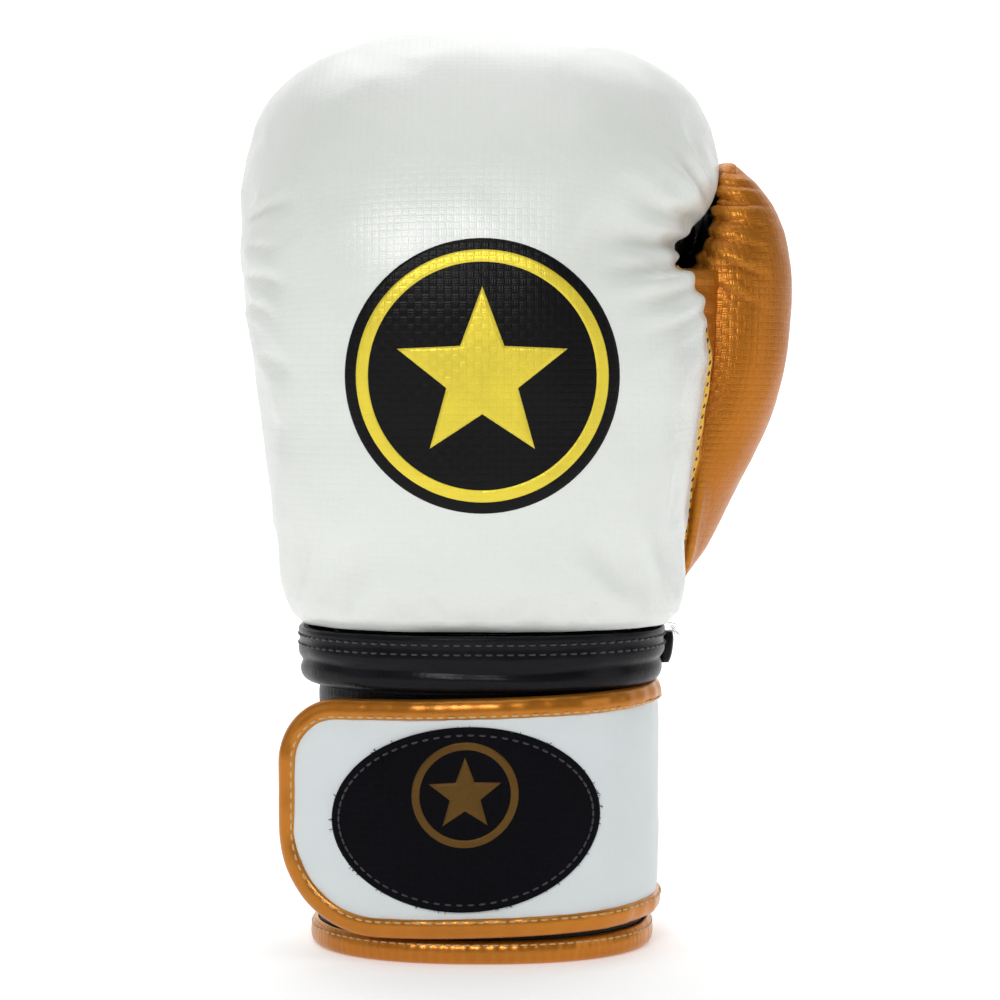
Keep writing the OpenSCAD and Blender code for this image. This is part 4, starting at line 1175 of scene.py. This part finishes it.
def bend(ob):
    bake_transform(ob)
    return ob


def edge_z(qv, w, top):
    """Height of the strap's outline at q."""
    qv = np.asarray(qv, float)
    if top:
        c, r = LEAVE + TAIL - HI_R, HI_R
        e = np.clip((qv - c) / (r - w), 0, 1)
        return HALF - r + (r - w) * np.sqrt(1 - e ** 2)
    c, r = s_arc, LO_R
    e = np.clip((qv - c) / (r - w), 0, 1)
    return -(HALF - r + (r - w) * np.sqrt(1 - e ** 2))


def strap_face(name, w, up, thick, mat, rough=0.0, seed=0.0):
    """A layer of the strap, set in by w and standing up mm off the cuff."""
    qa = q_of_len(210, QS, s_arc)
    e = np.sin(np.linspace(0, np.pi / 2, 34)[1:])
    qv = np.concatenate([qa, s_arc + (TAIL - (s_arc - LEAVE) - w) * e])
    lo, hi = edge_z(qv, w, False), edge_z(qv, w, True)
    f = np.linspace(0, 1, 40)
    Zr = lo[None] + (hi - lo)[None] * f[:, None]
    Q = qv[None] + 0 * Zr
    edge = np.minimum(f, 1 - f)[:, None] * (hi - lo)[None]
    U_ = up + 0 * Zr
    if rough:
        tmp = strap_pt(Q, Zr, up)
        d_ = nz(tmp, 0.035, seed) * rough + 0.35 * rough * nz(tmp, 0.12, seed + 5)
        U_ = U_ + d_ * smooth01(edge / 6.0) + 0.5 * smooth01(edge / 12)
    Pp = strap_pt(Q, Zr, U_)
    uv = np.stack([run_length(strap_pt(qv, 0, 3))[None] + 0 * Zr, Zr], -1)
    return sheet_mesh(name, Pp, mat, None, thick=thick, uv=uv)


sp = strap_face("strap_white_panel", 2.2, 3.7, 2.8, STRAPWHITE, rough=0.45, seed=40.0)
bend(sp)
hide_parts("strap_side_shell", "strap_end_shell", "strap_end_foam")
sb = strap_face("strap_back_cloth", 2.2, 0.75, 0.7, LINING)
bend(sb)
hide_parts("strap_side_backing", "strap_end_backing")

def strap_binding():
    """The gold binding round the strap."""
    ep = [(6.0, 4.1), (5.5, 4.75), (4.2, 5.1), (2.6, 5.05), (1.0, 4.6), (-0.2, 3.7), (-0.7, 2.4), (-0.5, 1.2),
          (0.3, 0.35), (1.8, -0.1), (4.0, -0.15), (5.6, 0.05), (6.0, 0.4), (5.9, 2.0)]
    paths = {w_: edge_path(w_) for w_ in sorted({e_[0] for e_ in ep})}
    cols = []
    for w_, u_ in ep:
        pq = paths[w_]
        lift_ = 0.16 * np.sin(np.arange(len(pq)) * 0.83) + 0.16 * np.sin(np.arange(len(pq)) * 0.31 + 1)
        cols.append(strap_pt(pq[:, 0], pq[:, 1], u_ + lift_ * (u_ > 3)))
    P = np.stack(cols, 1)
    sg = loft("strap_edge_binding", P, TRIM, None, (1.3, 1.2), flip=True)
    face_outwards(sg)
    bend(sg)
    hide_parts("strap_side_binding", "strap_end_binding")


strap_binding()


def strap_thread():
    """The stitches along the binding."""
    pq = edge_path(4.9)
    mid3 = strap_pt(pq[:, 0], pq[:, 1], 5.0)
    L = run_length(mid3)
    fr = []
    for s0 in np.arange(4, L[-1] - 3, 3.35):
        c = np.array([np.interp(s0, L, mid3[:, k_]) for k_ in range(3)])
        c2 = np.array([np.interp(s0 + 0.6, L, mid3[:, k_]) for k_ in range(3)])
        q0 = np.interp(s0, L, pq[:, 0])
        n0 = oval_out(np.array(min(q0, LEAVE)))
        fr.append((c + np.array([n0[0], n0[1], 0]) * 0.05, c2 - c, (n0[0], n0[1], 0)))
    sst = stitches("strap_edge_thread", fr, CREAM, None, (2.35, 0.66, 0.62))
    bend(sst)
    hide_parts("strap_stitches")


strap_thread()


# oval patch with its stitched rim
qq = np.linspace(20, LEAVE + TAIL, 1500)
xo = strap_pt(qq, 0, 4.4)[:, 0]
order = np.argsort(xo)


def put_strap(x, zr, h):
    qv = np.interp(x, xo[order], qq[order])
    return strap_pt(qv, zr, 3.9 + h)


PATCH_X = -5.0
PATCH_SIDES = 160


def oval_ring(f):
    turn = [2 * math.pi * j / PATCH_SIDES for j in range(PATCH_SIDES)]
    return [(42.5 * f * math.cos(a), 29.3 * f * math.sin(a)) for a in turn]


patch_rings = [oval_ring(f)
               for f in (0.05, 0.15, 0.26, 0.38, 0.5, 0.62, 0.73, 0.83, 0.9, 0.935, 0.96, 0.985, 1.0)]
patch = conform("strap_oval_patch", None, PATCH_X, 0.0, patch_rings, 0.45, 0.9, BLACKP, "strap_end",
                soft=0.35, place=put_strap)
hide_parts("strap_patch")
# the stitched groove presses the rings 9 and 10 of the patch in a little
for v in patch.data.vertices[9 * PATCH_SIDES:11 * PATCH_SIDES]:
    v.co.y += 0.28 * MM
fr = []
m = 70
for j in range(m):
    a = 2 * math.pi * j / m
    a2 = a + 0.01
    p = put_strap(PATCH_X + 40.1 * math.cos(a), 26.9 * math.sin(a), 1.32)
    p2 = put_strap(PATCH_X + 40.1 * math.cos(a2), 26.9 * math.sin(a2), 1.32)
    fr.append((p, p2 - p, (0, -1, 0)))
pst = stitches("strap_patch_thread", fr, DARKG, "strap_end", (2.2, 0.6, 0.6))
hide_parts("patch_stitches")
def patch_ends():
    """Short frayed ends round the patch."""
    rng = np.random.default_rng(11)
    V, F = [], []
    for k in range(64):
        a = rng.uniform(0, 2 * math.pi)
        p = [put_strap(PATCH_X + 42.4 * math.cos(a) * r, 29.2 * math.sin(a) * r, 0.75 + 0.25 * s) for s, r in
             ((0, 0.99), (0.5, 1.0 + rng.uniform(0.003, 0.008)), (1, 1.0 + rng.uniform(0.006, 0.020)))]
        p[2] = p[2] + np.array([rng.uniform(-0.5, 0.5), 0, rng.uniform(-0.5, 0.5)])
        b = len(V)
        wd = 0.13
        for c in p:
            V += [c + np.array([wd, 0, wd]), c + np.array([-wd, 0, 0]), c + np.array([0, -0.2, -wd])]
        for i in range(2):
            for j in range(3):
                l = (j + 1) % 3
                F.append((b + 3 * i + j, b + 3 * i + l, b + 3 * i + 3 + l, b + 3 * i + 3 + j))
        F += [(b + 2, b + 1, b), (b + 6, b + 7, b + 8)]
    fz = add_mesh("patch_thread_ends", to_m(V), F, DARK, "strap_end")


patch_ends()


rd = conform("patch_ring_print", None, PATCH_X, 8.0,
             [circle(r, 96) for r in (14.3, 14.9, 15.5, 16.1, 16.7)], 1.36, 0.16, BRONZE,
             "strap_end", closed_centre=False, soft=0.08, place=put_strap)
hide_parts("patch_roundel")
se = conform("patch_star_print", None, PATCH_X, 8.0,
             [star(12.0, f) for f in (0.2, 0.4, 0.6, 0.8, 1.0)], 1.36, 0.16, BRONZE,
             "strap_end", soft=0.08, place=put_strap)
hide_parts("patch_emblem")

# ribbed elastic and its sewn anchor behind the wrist
def strap_pad(name, q0, q1, half, lo, hi, mat, body, ribs=0.0, n=90, m=70):
    e = np.linspace(-1, 1, m)
    f = np.linspace(0, 1, n)
    e = np.sign(e) * (1 - (1 - np.abs(e)) ** 1.4)
    Q = q0 + (q1 - q0) * f[None] + 0 * e[:, None]
    Zr = half * e[:, None] * (1 - 0.012 * np.sin(f * 40)[None] * (ribs > 0))
    edge = np.minimum(1 - np.abs(e)[:, None], np.minimum(f, 1 - f)[None] * 3)
    U_ = lo + (hi - lo) * smooth01(edge / 0.03 + 0.25)
    if ribs:
        U_ = U_ + ribs * np.sin(Zr / 2.3 * 2 * np.pi) * smooth01(edge / 0.06) + 0.25 * np.sin(
            f[None] * 60 + 2 * np.sin(Zr / 9)) * smooth01((np.minimum(f, 1 - f)[None]) / 0.02) * np.exp(
            -np.minimum(f, 1 - f)[None] / 0.18)
    top = strap_pt(Q, Zr, U_)
    bot = strap_pt(Q, Zr, lo + 0 * Zr)
    nv = m * n
    V = np.concatenate([top.reshape(-1, 3), bot.reshape(-1, 3)])
    F = grid_faces(m, n) + [tuple(nv + v for v in g[::-1]) for g in grid_faces(m, n)]
    rim_ = ([j for j in range(n)] + [i * n + n - 1 for i in range(1, m)]
            + [(m - 1) * n + j for j in range(n - 2, -1, -1)] + [i * n for i in range(m - 2, 0, -1)])
    for a_, b_ in zip(rim_, rim_[1:] + rim_[:1]):
        F.append((a_, b_, nv + b_, nv + a_))
    uv = np.concatenate([np.stack([Q * 0.9, Zr], -1).reshape(-1, 2)] * 2)
    ob = add_mesh(name, to_m(V), F, mat, body, uvs=uv)
    face_outwards(ob)
    return ob


el = strap_pad("strap_elastic_web", -116.2, -66.4, 35.5, 0.6, 2.5, ELASTIC, "strap_side", ribs=0.22)
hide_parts("strap_elastic")
an = strap_pad("strap_anchor_patch", -129.0, -117.0, 36.5, -0.1, 2.7, BLACK, "mitt", n=30)
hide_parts("strap_anchor")
fr = []
for qv in (-127.2, -119.0):
    for zr in np.arange(-34, 34.1, 3.4):
        p = strap_pt(qv, zr, 2.75)
        n0 = oval_out(np.array(qv))
        fr.append((p, (0, 0, 1), (n0[0], n0[1], 0)))
ans = stitches("strap_anchor_thread", fr, DARKG, "mitt", (2.3, 0.6, 0.6))

# nodes whose shape stays, with their own cloth, tape and black leather materials
KEPT_NODES = {"hand_lining": LINING, "thumb_lining": LINING, "cuff_tongue": LINING, "grip_bar": BLACK,
              "thumb_lock": BLACK, "loop_pad": HOOK, "hook_pad": HOOK}
for node_name, kept_mat in KEPT_NODES.items():
    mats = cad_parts[node_name].data.materials
    mats.clear()
    mats.append(kept_mat)


# ------------------------------------------------------------------ stage, light, camera
def studio():
    sc = bpy.context.scene
    w = bpy.data.worlds.new("studio")
    sc.world = w
    w.use_nodes = True
    bg = w.node_tree.nodes["Background"]
    bg.inputs[0].default_value = (1.0, 1.0, 1.0, 1)
    bg.inputs[1].default_value = 0.17
    me = bpy.data.meshes.new("floor")
    pts, faces = [], []
    prof = [(-3.0, 0.0), (0.9, 0.0)]
    for k in range(1, 13):
        a = math.pi / 2 * k / 12
        prof.append((0.9 + 0.8 * math.sin(a), 0.8 - 0.8 * math.cos(a)))
    prof.append((1.7, 5.0))
    for y, z in prof:
        pts += [(-6, y, z), (6, y, z)]
    for i in range(len(prof) - 1):
        faces.append((2 * i, 2 * i + 1, 2 * i + 3, 2 * i + 2))
    me.from_pydata(pts, [], faces)
    ob = bpy.data.objects.new("floor", me)
    sc.collection.objects.link(ob)
    me.polygons.foreach_set("use_smooth", [True] * len(me.polygons))
    m, nt, bs = new_mat("backdrop")
    bs.inputs["Base Color"].default_value = (0.93, 0.93, 0.93, 1)
    bs.inputs["Roughness"].default_value = 0.9
    bs.inputs["Specular IOR Level"].default_value = 0.1
    bs.inputs["Emission Color"].default_value = (1, 1, 1, 1)
    bs.inputs["Emission Strength"].default_value = 0.35
    me.materials.append(m)

    def area(name, loc, to, size, power, sy=None):
        l = bpy.data.lights.new(name, "AREA")
        l.shape = "RECTANGLE" if sy else "DISK"
        l.size = size
        if sy:
            l.size_y = sy
        l.energy = power
        o = bpy.data.objects.new(name, l)
        sc.collection.objects.link(o)
        o.location = loc
        d = Vector(to) - Vector(loc)
        o.rotation_euler = d.to_track_quat("-Z", "Y").to_euler()

    area("key_front", (-0.3, -1.5, 0.95), (0, 0, 0.19), 0.6, 9.4, sy=0.4)
    area("fill_left", (-1.3, -0.5, 0.6), (0, 0, 0.15), 0.9, 1.0)
    area("fill_right", (1.3, -0.6, 0.5), (0, 0, 0.15), 0.9, 2.0)
    area("top", (0.0, -0.2, 1.5), (0, 0, 0.1), 1.0, 3.0)
    area("back", (0.0, 0.9, 1.3), (0, 1.4, 0.2), 1.4, 10)


studio()
bpy.context.scene.view_settings.view_transform = "Standard"

def camera():
    """The camera at the photograph's angle."""
    cam = bpy.data.cameras.new("cam")
    cob = bpy.data.objects.new("cam", cam)
    bpy.context.scene.collection.objects.link(cob)
    aim = Vector((-0.0056, 0.0, 0.1455))
    D, EL = 0.95, math.radians(3.0)
    cob.location = aim + Vector((0, -D * math.cos(EL), D * math.sin(EL)))
    cob.rotation_euler = (aim - cob.location).to_track_quat("-Z", "Y").to_euler()
    cam.sensor_width = 36
    cam.lens = 36 * D / 0.331
    cam.clip_start = 0.01
    cam.clip_end = 50
    bpy.context.scene.camera = cob


camera()
